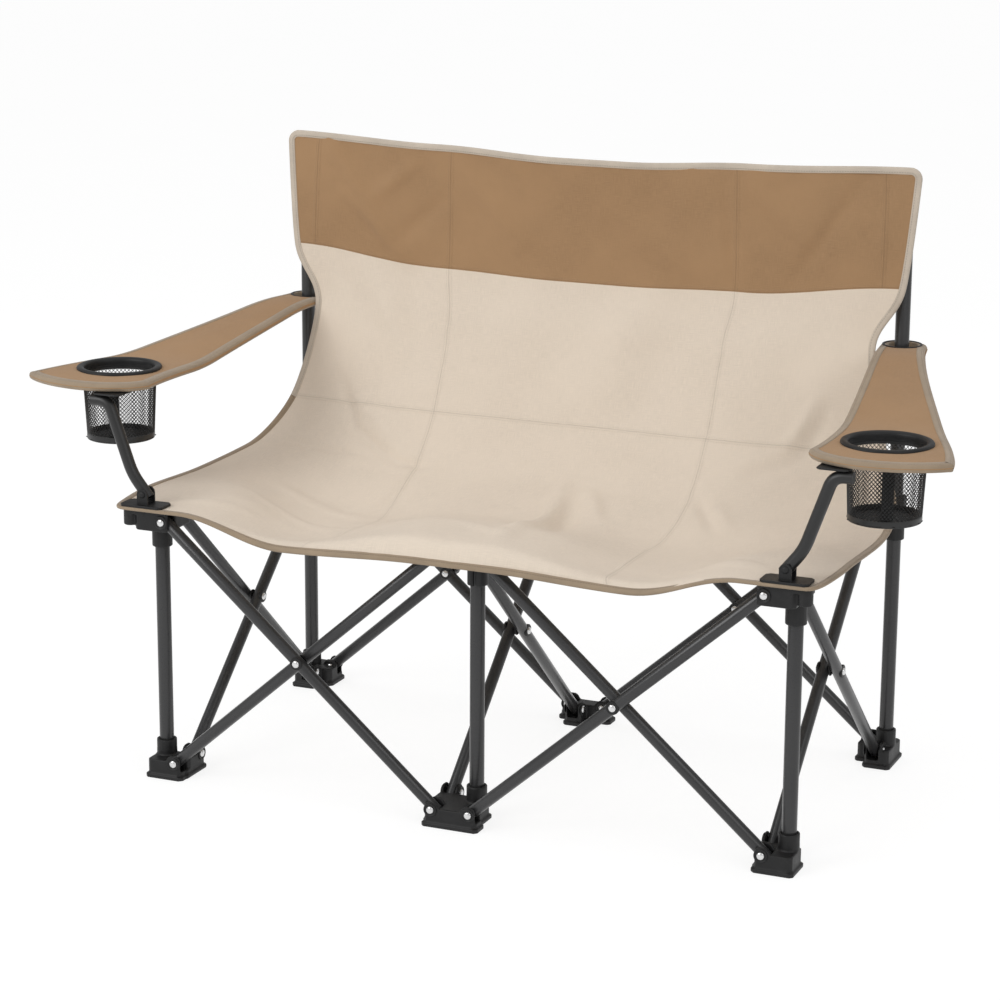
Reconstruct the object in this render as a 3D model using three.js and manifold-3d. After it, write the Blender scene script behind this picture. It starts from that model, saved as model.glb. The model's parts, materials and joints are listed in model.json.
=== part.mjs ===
// Folding camping loveseat: a steel scissor frame on six moulded feet, a canvas sling and padded armrests.
// Millimetres, +Z up, +X to the right as seen from the front, +Y towards the back.

import * as THREE from 'three';
import { mergeVertices } from 'three/addons/utils/BufferGeometryUtils.js';
import Module from 'manifold-3d';

const wasm = await Module();
wasm.setup();

// Frame layout
const POST_X = 500; // middle of the seat to a corner post
const PIVOT_IN = 30; // corner post, or middle, to the pivots of the front and rear scissors
const PIVOT_BACK = 28; // post line to the pivots of the side and centre scissors
const SPAN = POST_X - 2 * PIVOT_IN; // every scissor is as long as it is wide, so that all fold together
const DEPTH = SPAN + 2 * PIVOT_BACK; // front posts to rear posts
const LOW_Z = 26; // pivots in the feet
const HIGH_Z = 412; // pivots in the connectors
const TUBE_R = 9;
const TUBE_WALL = 1.4;
const TUBE_END = 8; // tube beyond its end pivots
const POST_R = 11;
const POST_WALL = 1.6;
const PLANE_STEP = 2 * TUBE_R + 3; // between the two tubes of a scissor, room for a washer
const CENTRE_POST_X = 20; // the front centre post stands beside the centre scissor
const FRONT_NEAR = -(POST_R + 2 + TUBE_R); // plane of the front tubes that start at the corner feet
const FRONT_FAR = FRONT_NEAR - PLANE_STEP; // plane of the front tubes that start at the centre foot
const REAR_NEAR = DEPTH; // plane of the rear tubes that start at the centre foot
const REAR_FAR = DEPTH + PLANE_STEP;
const SIDE_OUTER = POST_X - 10; // plane of the side tubes that start at the rear feet
const SIDE_INNER = SIDE_OUTER - PLANE_STEP;
const CENTRE_RIGHT = -11; // plane of the centre tube that starts at the rear foot
const CENTRE_LEFT = CENTRE_RIGHT - PLANE_STEP;

// Fits and rivets
const FIT = 0.4; // clearance of a tube in its socket
const GAP = 0.3; // between pieces that touch
const PIN_R = 3;
const PIN_FIT = 0.5;
const HEAD_R = 5;
const HEAD_H = 1.6;
const SLOT = TUBE_R + 0.5; // half width of a slot for a tube
const WALL = 4; // moulded wall beside a slot
const CLEAR = 13; // slot beyond a pivot, so that the tube end can swing

// Feet and connectors
const FLANGE_H = 6;
const FOOT_H = 38;
const SOCKET_R = POST_R + 4.5;
const SOCKET_H = 54;
const SOCKET_FLOOR = 5;
const HEAD_LOW = HIGH_Z - 15;
const HEAD_TOP = HIGH_Z + CLEAR + WALL;
const SLEEVE_LOW = HIGH_Z - 52;
const FRONT_POST_TOP = HIGH_Z - 4;
const FLANGE_OUT = 3;
const CHAMFER = 5;
const BOSS_R = 11;
const BOSS_LOW = HIGH_Z - 10;

// Sling
const CLOTH_T = 3;
const BACK_TOP = 926;
const REAR_POST_TOP = BACK_TOP - 6;
const POCKET_H = 56;
const POCKET_WALL = 2;
const SEAM_GAP = 0.0025; // share of a row left open between two panels
const SLING_ACROSS = 26;
const SLING_ALONG = 4;

// Arms
const ARM_Y = -46; // plane of the bent arm support
const LUG_Z = 15; // support pivot above the corner plate
const PLATE_T = 4;
const PLATE_HALF = 35;
const PLATE_LIFT = 0.8; // room for the folded hem under the corner plate
const PLATE_FRONT = -66;
const PLATE_REAR = -29;
const SUPPORT_RISE = 28;
const SUPPORT_LEAN = 22;
const SUPPORT_TOP_X = POST_X + 60;
const SUPPORT_TURN = 28; // level end under the armrest
const ARM_Z = 613; // armrest top round the cup holder
const ARM_RISE = 50; // from the cup holder to the rear post
const PAD_T = 13;
const BRACKET_T = 3;
const BRACKET_HALF = 23;
const CUP_X = POST_X + 103;
const CUP_Y = 61;
const LIP_R = 66;
const LIP_H = 5;
const SKIRT_R = 57;
const CUP_R = SKIRT_R - 3; // mouth of the cup ring
const SKIRT_DEPTH = 17;
const BASKET_TOP_R = 56;
const BASKET_LOW_R = 51;
const BASKET_H = 90;
const BASKET_WALL = 2;
const EYELET_R = 26.5; // wide, because the armrest tips while it slides down the rear post
const EYELET_WALL = 2.5;
const EYELET_BACK = 3; // eyelet centre behind the post
const WAIST_Z = ARM_Z + ARM_RISE - 5; // the back is narrowest where the armrests pass it
const SHOULDER_Z = WAIST_Z + 0.35 * (BACK_TOP - WAIST_Z);

const ROUND = 12;
const FINE = 18;
const SMALL = 8;

const steel = new THREE.MeshStandardMaterial({ color: 0x3a3b3d, roughness: 0.45, metalness: 0.6 });
const moulded = new THREE.MeshStandardMaterial({ color: 0x1c1c1d, roughness: 0.6, metalness: 0 });
const bright = new THREE.MeshStandardMaterial({ color: 0xc9cbcd, roughness: 0.3, metalness: 0.9 });
const canvas = new THREE.MeshStandardMaterial({ color: 0xdacdbc, roughness: 0.9, metalness: 0 });
const brownCanvas = new THREE.MeshStandardMaterial({ color: 0xa08160, roughness: 0.9, metalness: 0 });
const blackMesh = new THREE.MeshStandardMaterial({ color: 0x161616, roughness: 0.5, metalness: 0.4 });

// Solids

function solid(geometry) {
  const bare = new THREE.BufferGeometry();
  bare.setAttribute('position', geometry.getAttribute('position'));
  bare.setIndex(geometry.index);
  const merged = mergeVertices(bare, 1e-4);
  const corners = merged.index.array;
  const kept = [];
  for (let i = 0; i < corners.length; i += 3) {
    const [a, b, c] = [corners[i], corners[i + 1], corners[i + 2]];
    if (a !== b && b !== c && c !== a) {
      kept.push(a, b, c);
    }
  }
  const mesh = new wasm.Mesh({
    numProp: 3,
    vertProperties: merged.attributes.position.array,
    triVerts: Uint32Array.from(kept),
  });
  return new wasm.Manifold(mesh);
}

function geometryOf(body) {
  const mesh = body.getMesh();
  const geometry = new THREE.BufferGeometry();
  geometry.setAttribute('position', new THREE.BufferAttribute(mesh.vertProperties, 3));
  geometry.setIndex(new THREE.BufferAttribute(mesh.triVerts, 1));
  return geometry;
}

const join = (parts) => parts.reduce((whole, part) => whole.add(part));
const cut = (body, tools) => tools.reduce((rest, tool) => rest.subtract(tool), body);

function rodGeometry(from, to, radius, sides = ROUND) {
  const start = new THREE.Vector3(...from);
  const way = new THREE.Vector3(...to).sub(start);
  const geometry = new THREE.CylinderGeometry(radius, radius, way.length(), sides);
  const up = new THREE.Vector3(0, 1, 0);
  const turn = new THREE.Quaternion().setFromUnitVectors(up, way.clone().normalize());
  geometry.applyQuaternion(turn);
  const middle = start.addScaledVector(way, 0.5);
  return geometry.translate(middle.x, middle.y, middle.z);
}

const rod = (from, to, radius, sides) => solid(rodGeometry(from, to, radius, sides));

function block(low, high) {
  const size = high.map((value, i) => value - low[i]);
  const geometry = new THREE.BoxGeometry(...size);
  geometry.translate(...low.map((value, i) => value + size[i] / 2));
  return solid(geometry);
}

const outlineShape = (points) => new THREE.Shape(points.map((point) => new THREE.Vector2(...point)));

function slab(shape, low, high, curveSegments = 10) {
  const options = { depth: high - low, bevelEnabled: false, curveSegments };
  const geometry = new THREE.ExtrudeGeometry(shape, options);
  geometry.translate(0, 0, low);
  return solid(geometry);
}

// A rectangle with its corners cut off, grown all round by a margin
function cutCorners(left, front, right, rear, margin = 0) {
  const [x0, y0, x1, y1] = [left - margin, front - margin, right + margin, rear + margin];
  return outlineShape([
    [x0 + CHAMFER, y0],
    [x1 - CHAMFER, y0],
    [x1, y0 + CHAMFER],
    [x1, y1 - CHAMFER],
    [x1 - CHAMFER, y1],
    [x0 + CHAMFER, y1],
    [x0, y1 - CHAMFER],
    [x0, y0 + CHAMFER],
  ]);
}

// A closed sheet from a grid that runs left to right and rear to front, with an upper and a lower face
function closedSheet(across, along, pointAt) {
  const positions = [];
  for (const face of [1, -1]) {
    for (let j = 0; j <= along; j += 1) {
      for (let i = 0; i <= across; i += 1) {
        positions.push(...pointAt(i / across, j / along, face));
      }
    }
  }
  const row = across + 1;
  const under = row * (along + 1);
  const faces = [];
  const quad = (a, b, c, d) => faces.push(a, b, c, a, c, d);
  for (let j = 0; j < along; j += 1) {
    for (let i = 0; i < across; i += 1) {
      const a = j * row + i;
      quad(a, a + row, a + row + 1, a + 1);
      quad(under + a, under + a + 1, under + a + row + 1, under + a + row);
    }
    const [left, right] = [j * row, j * row + across];
    quad(left, under + left, under + left + row, left + row);
    quad(right, right + row, under + right + row, under + right);
  }
  for (let i = 0; i < across; i += 1) {
    const far = along * row + i;
    quad(i, i + 1, under + i + 1, under + i);
    quad(far, under + far, under + far + 1, far + 1);
  }
  const geometry = new THREE.BufferGeometry();
  geometry.setAttribute('position', new THREE.Float32BufferAttribute(positions, 3));
  geometry.setIndex(faces);
  return geometry;
}

// Pivots: a slot for a tube end in a moulded block, and the rivet that crosses it.
// across is the rivet's axis, x or y, and towards is the way the tube leaves along the other one.

function pivotAxes(across) {
  return across === 'y' ? [1, 0] : [0, 1];
}

function slotTool({ at, across, towards }, low, high) {
  const [plane, along] = pivotAxes(across);
  const start = [0, 0, low];
  const end = [0, 0, high];
  start[plane] = at[plane] - SLOT;
  end[plane] = at[plane] + SLOT;
  const reach = [at[along] - towards * CLEAR, at[along] + towards * 3 * CLEAR];
  start[along] = Math.min(...reach);
  end[along] = Math.max(...reach);
  return block(start, end);
}

function pivotRivet({ at, across }, z) {
  const [plane] = pivotAxes(across);
  const point = (offset) => {
    const place = [at[0], at[1], z];
    place[plane] += offset;
    return place;
  };
  const wallFace = SLOT + WALL;
  const shank = rod(point(-wallFace), point(wallFace), PIN_R, SMALL);
  const heads = [-1, 1].map((side) =>
    rod(point(side * (wallFace - 1)), point(side * (wallFace + HEAD_H)), HEAD_R, SMALL),
  );
  return join([shank, ...heads]);
}

// Moulded pieces: each takes plan outlines as [left, front, right, rear] and a list of pivots

function foot(outlines, pivots, postAt) {
  const flanges = outlines.map((outline) => slab(cutCorners(...outline, FLANGE_OUT), 0, FLANGE_H));
  const bodies = outlines.map((outline) => slab(cutCorners(...outline), 0, FOOT_H));
  const slots = pivots.map((pivot) => slotTool(pivot, LOW_Z - CLEAR, SOCKET_H + 1));
  const rivets = pivots.map((pivot) => pivotRivet(pivot, LOW_Z));
  const base = cut(join([...flanges, ...bodies]), slots);
  if (!postAt) {
    return join([base, ...rivets]);
  }
  const socket = cut(rod([...postAt, 0], [...postAt, SOCKET_H], SOCKET_R, FINE), slots);
  const bore = rod([...postAt, SOCKET_FLOOR], [...postAt, SOCKET_H + 1], POST_R + FIT, FINE);
  return join([cut(join([base, socket]), [bore]), ...rivets]);
}

function connector(outlines, pivots, extras = []) {
  const bodies = outlines.map((outline) => slab(cutCorners(...outline), HEAD_LOW, HEAD_TOP));
  const slots = pivots.map((pivot) => slotTool(pivot, SLEEVE_LOW - 1, HIGH_Z + CLEAR));
  const rivets = pivots.map((pivot) => pivotRivet(pivot, HIGH_Z));
  return join([cut(join([...bodies, ...extras]), slots), ...rivets]);
}

const sleeve = ([x, y]) => rod([x, y, SLEEVE_LOW], [x, y, HEAD_TOP], SOCKET_R, FINE);
const sleeveBore = ([x, y], top) => rod([x, y, SLEEVE_LOW - 1], [x, y, top], POST_R + FIT, FINE);

// Tubes

function hollowTube(radius, wall, length) {
  const ring = new THREE.Shape().absarc(0, 0, radius, 0, 2 * Math.PI);
  ring.holes.push(new THREE.Path().absarc(0, 0, radius - wall, 0, 2 * Math.PI));
  return new THREE.ExtrudeGeometry(ring, { depth: length, bevelEnabled: false, curveSegments: ROUND / 2 });
}

const scissorLength = Math.hypot(SPAN, HIGH_Z - LOW_Z);
const scissorAngle = Math.atan2(HIGH_Z - LOW_Z, SPAN);

// A straight tube along +Z from its lower pivot, drilled along Y at both ends and in the middle
function scissorTube() {
  const tube = hollowTube(TUBE_R, TUBE_WALL, scissorLength + 2 * TUBE_END);
  tube.translate(0, 0, -TUBE_END);
  const drills = [0, scissorLength / 2, scissorLength].map((z) =>
    rod([0, -2 * TUBE_R, z], [0, 2 * TUBE_R, z], PIN_R + PIN_FIT, SMALL),
  );
  return geometryOf(cut(solid(tube), drills));
}

// The rivet where two scissor tubes cross: heads outside, a washer between the tubes, turned about Y
function crossRivet() {
  const outer = PLANE_STEP / 2 + TUBE_R + GAP;
  const washer = (PLANE_STEP - 2 * TUBE_R) / 2 - GAP;
  const profile = [
    [0, -outer - HEAD_H],
    [HEAD_R - 1, -outer - HEAD_H],
    [HEAD_R, -outer],
    [PIN_R, -outer],
    [PIN_R, -washer],
    [TUBE_R - 1, -washer],
    [TUBE_R - 1, washer],
    [PIN_R, washer],
    [PIN_R, outer],
    [HEAD_R, outer],
    [HEAD_R - 1, outer + HEAD_H],
    [0, outer + HEAD_H],
  ];
  const lathe = new THREE.LatheGeometry(profile.map((point) => new THREE.Vector2(...point)), SMALL);
  return geometryOf(solid(lathe));
}

// Sling: rows of a hammock surface from the top of the back to the front hem.
// hem is the side edge, drop the way from it to the bottom of a bucket, ridge the share of the drop left
// between the two buckets, flat the share of the half width that stays level beside the hem.

const POST_FACE = DEPTH - POST_R - GAP - CLOTH_T / 2;
const CORNER_Z = HEAD_TOP + GAP + CLOTH_T / 2;
const SLING_ROWS = [
  { half: POST_X + 24, y: POST_FACE, z: BACK_TOP, dropY: -1, dropZ: -13, ridge: 1, flat: 0.08 },
  { half: POST_X + 8, y: POST_FACE - 13, z: SHOULDER_Z, dropY: 8, dropZ: -26, ridge: 1, flat: 0 },
  { half: POST_X - 33, y: POST_FACE - 22, z: WAIST_Z, dropY: -10, dropZ: -26, ridge: 0.9, flat: 0 },
  { half: POST_X, y: POST_FACE - 50, z: CORNER_Z + 76, dropY: -39, dropZ: 5, ridge: 0.9, flat: 0 },
  { half: POST_X + 40, y: POST_FACE - 131, z: CORNER_Z + 6, dropY: -55, dropZ: -12, ridge: 0.6, flat: 0 },
  { half: POST_X + 55, y: 215, z: CORNER_Z - 4, dropY: -30, dropZ: -40, ridge: 0.5, flat: 0.05 },
  { half: POST_X + 56, y: 60, z: CORNER_Z + 1.5, dropY: -10, dropZ: -44, ridge: 0, flat: 0.22 },
  { half: POST_X + 48, y: -36.5, z: CORNER_Z, dropY: 0, dropZ: -30, ridge: 0, flat: 0.2 },
  { half: POST_X + 40, y: PLATE_FRONT, z: CORNER_Z, dropY: 8, dropZ: -39, ridge: 0.8, flat: 0.19 },
];
const SEAM_ROW = 3; // back meets seat
const FOLD_ROW = 4.6; // the seat folds here
const LAST_ROW = SLING_ROWS.length - 1;
const CREST = 0.1; // share of the half width that lies level on the front centre connector

// Slope at a row that lets the surface neither dip nor swell between rows
const rowSlope = (before, after) => (before * after <= 0 ? 0 : (2 * before * after) / (before + after));

function rowValue(key, v) {
  const index = Math.min(Math.floor(v), LAST_ROW - 1);
  const t = v - index;
  const at = (i) => SLING_ROWS[Math.min(Math.max(i, 0), LAST_ROW)][key];
  const [a, b, c, d] = [at(index - 1), at(index), at(index + 1), at(index + 2)];
  const [leave, arrive] = [rowSlope(b - a, c - b), rowSlope(c - b, d - c)];
  const square = 3 * (c - b) - 2 * leave - arrive;
  const cube = 2 * (b - c) + leave + arrive;
  return b + t * leave + t * t * square + t * t * t * cube;
}

function bucketShare(across, ridge, flat) {
  const t = Math.abs(across);
  const wave = (share) => 0.5 - 0.5 * Math.cos(Math.PI * share);
  if (t < 0.5) {
    return ridge + (1 - ridge) * wave(Math.max((t - CREST) / (0.5 - CREST), 0));
  }
  return 1 - wave(Math.min((t - 0.5) / (0.5 - flat), 1));
}

function slingPoint(across, v) {
  const share = bucketShare(across, rowValue('ridge', v), rowValue('flat', v));
  return new THREE.Vector3(
    across * rowValue('half', v),
    rowValue('y', v) + share * rowValue('dropY', v),
    rowValue('z', v) + share * rowValue('dropZ', v),
  );
}

// A closed sheet of cloth between two rows
function clothPanel(first, last) {
  const along = Math.round((last - first) * SLING_ALONG);
  const step = 1e-3;
  return closedSheet(SLING_ACROSS, along, (i, j, face) => {
    const v = first + (last - first) * j;
    const across = 2 * i - 1;
    const point = slingPoint(across, v);
    const eastward = slingPoint(across + step, v).sub(slingPoint(across - step, v));
    const forward = slingPoint(across, Math.min(v + step, LAST_ROW));
    forward.sub(slingPoint(across, Math.max(v - step, 0)));
    const normal = forward.cross(eastward).normalize();
    return point.addScaledVector(normal, (face * CLOTH_T) / 2).toArray();
  });
}

// The back panel with the pockets that slip over the rear posts
function backPanel() {
  const sheet = solid(clothPanel(0, SEAM_ROW - SEAM_GAP));
  const pocketR = POST_R + FIT + POCKET_WALL;
  const pockets = [-POST_X, POST_X].map((x) =>
    cut(rod([x, DEPTH, BACK_TOP - POCKET_H], [x, DEPTH, REAR_POST_TOP + GAP + POCKET_WALL], pocketR), [
      rod([x, DEPTH, BACK_TOP - POCKET_H - 1], [x, DEPTH, REAR_POST_TOP + GAP], POST_R + FIT, FINE),
    ]),
  );
  return geometryOf(join([sheet, ...pockets]));
}

// Arms

function cornerPlate() {
  const low = CORNER_Z + CLOTH_T / 2 + PLATE_LIFT;
  const top = low + PLATE_T;
  const pivot = top + LUG_Z;
  const plan = cutCorners(POST_X - PLATE_HALF, PLATE_FRONT, POST_X + PLATE_HALF, PLATE_REAR);
  const plate = slab(plan, low, top);
  const earInside = TUBE_R + GAP;
  const ears = [-1, 1].map((side) => {
    const faces = [ARM_Y + side * earInside, ARM_Y + side * (earInside + 3)].sort((a, b) => a - b);
    const root = block([POST_X - 9, faces[0], low], [POST_X + 9, faces[1], pivot]);
    return root.add(rod([POST_X, faces[0], pivot], [POST_X, faces[1], pivot], 9));
  });
  const pinEnd = (side) => [POST_X, ARM_Y + side * (earInside + 4), pivot];
  const pin = rod(pinEnd(-1), pinEnd(1), PIN_R, SMALL);
  return geometryOf(join([plate, ...ears, pin]));
}

const LUG_PIVOT_Z = CORNER_Z + CLOTH_T / 2 + PLATE_LIFT + PLATE_T + LUG_Z;
const BRACKET_LOW = ARM_Z - PAD_T - GAP - BRACKET_T;

function armSupport() {
  const base = new THREE.Vector3(POST_X, ARM_Y, LUG_PIVOT_Z);
  const bend = new THREE.Vector3(POST_X + SUPPORT_LEAN, ARM_Y, LUG_PIVOT_Z + SUPPORT_RISE);
  const knee = new THREE.Vector3(SUPPORT_TOP_X, ARM_Y, BRACKET_LOW - GAP - TUBE_R);
  const end = new THREE.Vector3(SUPPORT_TOP_X + SUPPORT_TURN, ARM_Y, knee.z);
  const ways = [bend.clone().sub(base), knee.clone().sub(bend), end.clone().sub(knee)];
  const [lower, upper, level] = ways.map((way) => way.normalize());
  const round = 16;
  const path = new THREE.CurvePath();
  let from = base.clone().addScaledVector(lower, -TUBE_R);
  for (const [corner, before, after] of [[bend, lower, upper], [knee, upper, level]]) {
    const into = corner.clone().addScaledVector(before, -round);
    const outOf = corner.clone().addScaledVector(after, round);
    path.add(new THREE.LineCurve3(from, into));
    path.add(new THREE.QuadraticBezierCurve3(into, corner, outOf));
    from = outOf;
  }
  path.add(new THREE.LineCurve3(from, end));
  const section = new THREE.Shape().absarc(0, 0, TUBE_R, 0, 2 * Math.PI);
  const options = { steps: 16, curveSegments: ROUND / 2, extrudePath: path, bevelEnabled: false };
  const tube = solid(new THREE.ExtrudeGeometry(section, options));
  const drillEnd = (side) => [POST_X, ARM_Y + side * 20, LUG_PIVOT_Z];
  const drill = rod(drillEnd(-1), drillEnd(1), PIN_R + PIN_FIT, SMALL);
  return geometryOf(cut(tube, [drill]));
}

const EYELET_EDGE = EYELET_R + EYELET_WALL + 5; // post to the inner edge of the armrest
const EYELET_AT = [POST_X, DEPTH + EYELET_BACK];
const REAR_TIP = EYELET_AT[1] + EYELET_EDGE;
const RISE_START = CUP_Y + LIP_R + 1;
const RISE_END = EYELET_AT[1] - EYELET_EDGE;

// Armrest height above the cup holder: level, then a steady climb, then level round the rear post
function armRise(y) {
  const share = THREE.MathUtils.clamp((y - RISE_START) / (RISE_END - RISE_START), 0, 1);
  const bend = 0.2;
  const climb = (part) => (part < bend ? (part * part) / (2 * bend) : part - bend / 2);
  const rise = share < 0.5 ? climb(share) : 1 - bend - climb(1 - share);
  return (ARM_RISE * rise) / (1 - bend);
}

function bezier(points, t) {
  if (points.length === 1) {
    return points[0];
  }
  const between = (from, to) => from.map((value, k) => value + (to[k] - value) * t);
  return bezier(points.slice(1).map((point, i) => between(points[i], point)), t);
}

// Armrest plan: narrow round the rear post, wide with pointed corners at the front
const FRONT_INNER = [POST_X + 12, -8];
const FRONT_OUTER = [POST_X + 216, -15];
const REAR_INNER = [POST_X - EYELET_EDGE, EYELET_AT[1]];
const REAR_OUTER = [POST_X + EYELET_EDGE + 4, EYELET_AT[1]];
const FRONT_EDGE = [FRONT_INNER, [POST_X + 40, -70], [POST_X + 155, -72], FRONT_OUTER];
const REAR_EDGE = [REAR_INNER, [REAR_INNER[0], REAR_TIP + 11], [REAR_OUTER[0], REAR_TIP + 11], REAR_OUTER];
const INNER_EDGE = [
  FRONT_INNER,
  [POST_X + 20, 70],
  [POST_X + 16, 160],
  [POST_X - 16, 340],
  [POST_X - 26, 430],
  REAR_INNER,
];
const OUTER_EDGE = [
  FRONT_OUTER,
  [POST_X + 204, 60],
  [POST_X + 160, 160],
  [POST_X + 100, 300],
  [POST_X + 52, 410],
  REAR_OUTER,
];

// A point of the plan, from the inner edge to the outer one and from the front to the rear
function armrestPlan(across, along) {
  const mix = (a, b, share) => a.map((value, k) => value + (b[k] - value) * share);
  const lengthwise = mix(bezier(INNER_EDGE, along), bezier(OUTER_EDGE, along), across);
  const crosswise = mix(bezier(FRONT_EDGE, across), bezier(REAR_EDGE, across), along);
  const corners = mix(mix(FRONT_INNER, FRONT_OUTER, across), mix(REAR_INNER, REAR_OUTER, across), along);
  return lengthwise.map((value, k) => value + crosswise[k] - corners[k]);
}

function armrestPad() {
  const sheet = closedSheet(5, 15, (across, along, face) => {
    const [x, y] = armrestPlan(across, 1 - along);
    return [x, y, armRise(y) - (face > 0 ? 0 : PAD_T)];
  });
  const through = ([x, y], z, radius) => rod([x, y, z - PAD_T - 1], [x, y, z + 1], radius, FINE);
  const cupHole = through([CUP_X, CUP_Y], 0, SKIRT_R + GAP);
  const eyeletHole = through(EYELET_AT, ARM_RISE, EYELET_R + EYELET_WALL + GAP);
  return geometryOf(cut(solid(sheet), [cupHole, eyeletHole]));
}

function turned(points, sides = FINE) {
  const lathe = new THREE.LatheGeometry(points.map((point) => new THREE.Vector2(...point)), sides);
  lathe.rotateX(Math.PI / 2);
  return geometryOf(solid(lathe));
}

function cupRing() {
  return turned([
    [CUP_R, LIP_H - 1],
    [CUP_R + 3, LIP_H],
    [LIP_R - 3, LIP_H],
    [LIP_R, GAP + 1],
    [LIP_R - 1, GAP],
    [SKIRT_R, GAP],
    [SKIRT_R, -SKIRT_DEPTH],
    [CUP_R, -SKIRT_DEPTH],
    [CUP_R, LIP_H - 1],
  ].reverse());
}

function basket() {
  const top = -SKIRT_DEPTH - GAP;
  const low = top - BASKET_H;
  return turned([
    [0, low],
    [BASKET_LOW_R, low],
    [BASKET_TOP_R, top],
    [BASKET_TOP_R - BASKET_WALL, top],
    [BASKET_LOW_R - BASKET_WALL, low + BASKET_WALL],
    [0, low + BASKET_WALL],
  ]);
}

function eyelet() {
  const outer = EYELET_R + EYELET_WALL;
  return turned([
    [EYELET_R, -PAD_T - 1],
    [outer, -PAD_T - 1],
    [outer, GAP],
    [outer + 3, GAP],
    [outer + 2, GAP + 2],
    [EYELET_R, GAP + 2],
    [EYELET_R, -PAD_T - 1],
  ]);
}

// Assembly

const loveseat = new THREE.Group();

function place(parent, name, geometry, material, position = [0, 0, 0]) {
  const mesh = new THREE.Mesh(geometry, material);
  mesh.name = name;
  mesh.position.set(...position);
  parent.add(mesh);
  return mesh;
}

// A pair of crossed tubes in a group whose x runs along the span and whose y runs through the rivet.
// start is the tube that rises along +x from the near foot, finish the one that rises from the far foot.
function scissor(parent, [x, y], turn, startPlane, finishPlane, startName, finishName, rivetName) {
  const frame = new THREE.Group();
  frame.position.set(x, y, LOW_Z);
  frame.rotation.z = turn;
  parent.add(frame);
  const lean = Math.PI / 2 - scissorAngle;
  place(frame, startName, scissorTube(), steel, [0, startPlane, 0]).rotation.y = lean;
  place(frame, finishName, scissorTube(), steel, [SPAN, finishPlane, 0]).rotation.y = -lean;
  const crossing = [SPAN / 2, (startPlane + finishPlane) / 2, (HIGH_Z - LOW_Z) / 2];
  place(frame, rivetName, crossRivet(), bright, crossing);
}

function post(parent, name, [x, y], top) {
  const low = SOCKET_FLOOR + GAP;
  place(parent, name, hollowTube(POST_R, POST_WALL, top - low), steel, [x, y, low]);
}

const frontCornerPivots = [
  { at: [POST_X - PIVOT_IN, FRONT_NEAR], across: 'y', towards: -1 },
  { at: [SIDE_INNER, PIVOT_BACK], across: 'x', towards: 1 },
];
const rearCornerPivots = [
  { at: [POST_X - PIVOT_IN, REAR_FAR], across: 'y', towards: -1 },
  { at: [SIDE_OUTER, DEPTH - PIVOT_BACK], across: 'x', towards: -1 },
];
const frontHeadPivots = [
  { at: [POST_X - PIVOT_IN, FRONT_FAR], across: 'y', towards: -1 },
  { at: [SIDE_OUTER, PIVOT_BACK], across: 'x', towards: 1 },
];
const sliderPivots = [
  { at: [POST_X - PIVOT_IN, REAR_NEAR], across: 'y', towards: -1 },
  { at: [SIDE_INNER, DEPTH - PIVOT_BACK], across: 'x', towards: -1 },
];
const MOULD = SLOT + WALL; // pivot to the outer face beside it
const EAR = 12; // pivot to the open end of its slot
const INSIDE = POST_X - PIVOT_IN - EAR;

function frontConnector() {
  const postAt = [POST_X, 0];
  const outlines = [
    [INSIDE, FRONT_FAR - MOULD, POST_X + SOCKET_R, SOCKET_R],
    [SIDE_OUTER - MOULD, -SOCKET_R, POST_X + SOCKET_R, PIVOT_BACK + EAR],
  ];
  const bossAt = [POST_X + SOCKET_R + BOSS_R, ARM_Y];
  const boss = rod([...bossAt, BOSS_LOW], [...bossAt, HEAD_TOP], BOSS_R);
  const shelf = block([POST_X, ARM_Y - BOSS_R, HEAD_TOP - 9], [bossAt[0], ARM_Y + BOSS_R, HEAD_TOP]);
  const whole = connector(outlines, frontHeadPivots, [sleeve(postAt), boss, shelf]);
  return geometryOf(cut(whole, [sleeveBore(postAt, FRONT_POST_TOP + 1)]));
}

function rearSlider() {
  const postAt = [POST_X, DEPTH];
  const outlines = [
    [INSIDE, REAR_NEAR - MOULD, POST_X + SOCKET_R, REAR_NEAR + MOULD],
    [SIDE_INNER - MOULD, DEPTH - PIVOT_BACK - EAR, SIDE_INNER + MOULD, DEPTH],
  ];
  const whole = connector(outlines, sliderPivots, [sleeve(postAt)]);
  return geometryOf(cut(whole, [sleeveBore(postAt, HEAD_TOP + 1)]));
}

function frontCornerFoot() {
  const outlines = [
    [INSIDE, FRONT_NEAR - MOULD, POST_X + SOCKET_R, SOCKET_R],
    [SIDE_INNER - MOULD, FRONT_NEAR, SIDE_INNER + MOULD, PIVOT_BACK + EAR],
  ];
  return geometryOf(foot(outlines, frontCornerPivots, [POST_X, 0]));
}

function rearCornerFoot() {
  const outlines = [
    [INSIDE, DEPTH - SOCKET_R, POST_X + SOCKET_R, REAR_FAR + MOULD],
    [SIDE_OUTER - MOULD, DEPTH - PIVOT_BACK - EAR, POST_X + SOCKET_R, DEPTH],
  ];
  return geometryOf(foot(outlines, rearCornerPivots, [POST_X, DEPTH]));
}

const pairAcross = (y) => [-1, 1].map((side) => ({ at: [side * PIVOT_IN, y], across: 'y', towards: side }));
const HALF = PIVOT_IN + EAR;

function frontCentreFoot() {
  const postAt = [CENTRE_POST_X, 0];
  const pivots = [...pairAcross(FRONT_FAR), { at: [CENTRE_LEFT, PIVOT_BACK], across: 'x', towards: 1 }];
  const outlines = [
    [-HALF, FRONT_FAR - MOULD, HALF, FRONT_FAR + MOULD],
    [CENTRE_LEFT - MOULD, FRONT_FAR, CENTRE_POST_X + SOCKET_R, SOCKET_R],
    [CENTRE_LEFT - MOULD, FRONT_FAR, CENTRE_LEFT + MOULD, PIVOT_BACK + EAR],
  ];
  return geometryOf(foot(outlines, pivots, postAt));
}

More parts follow.
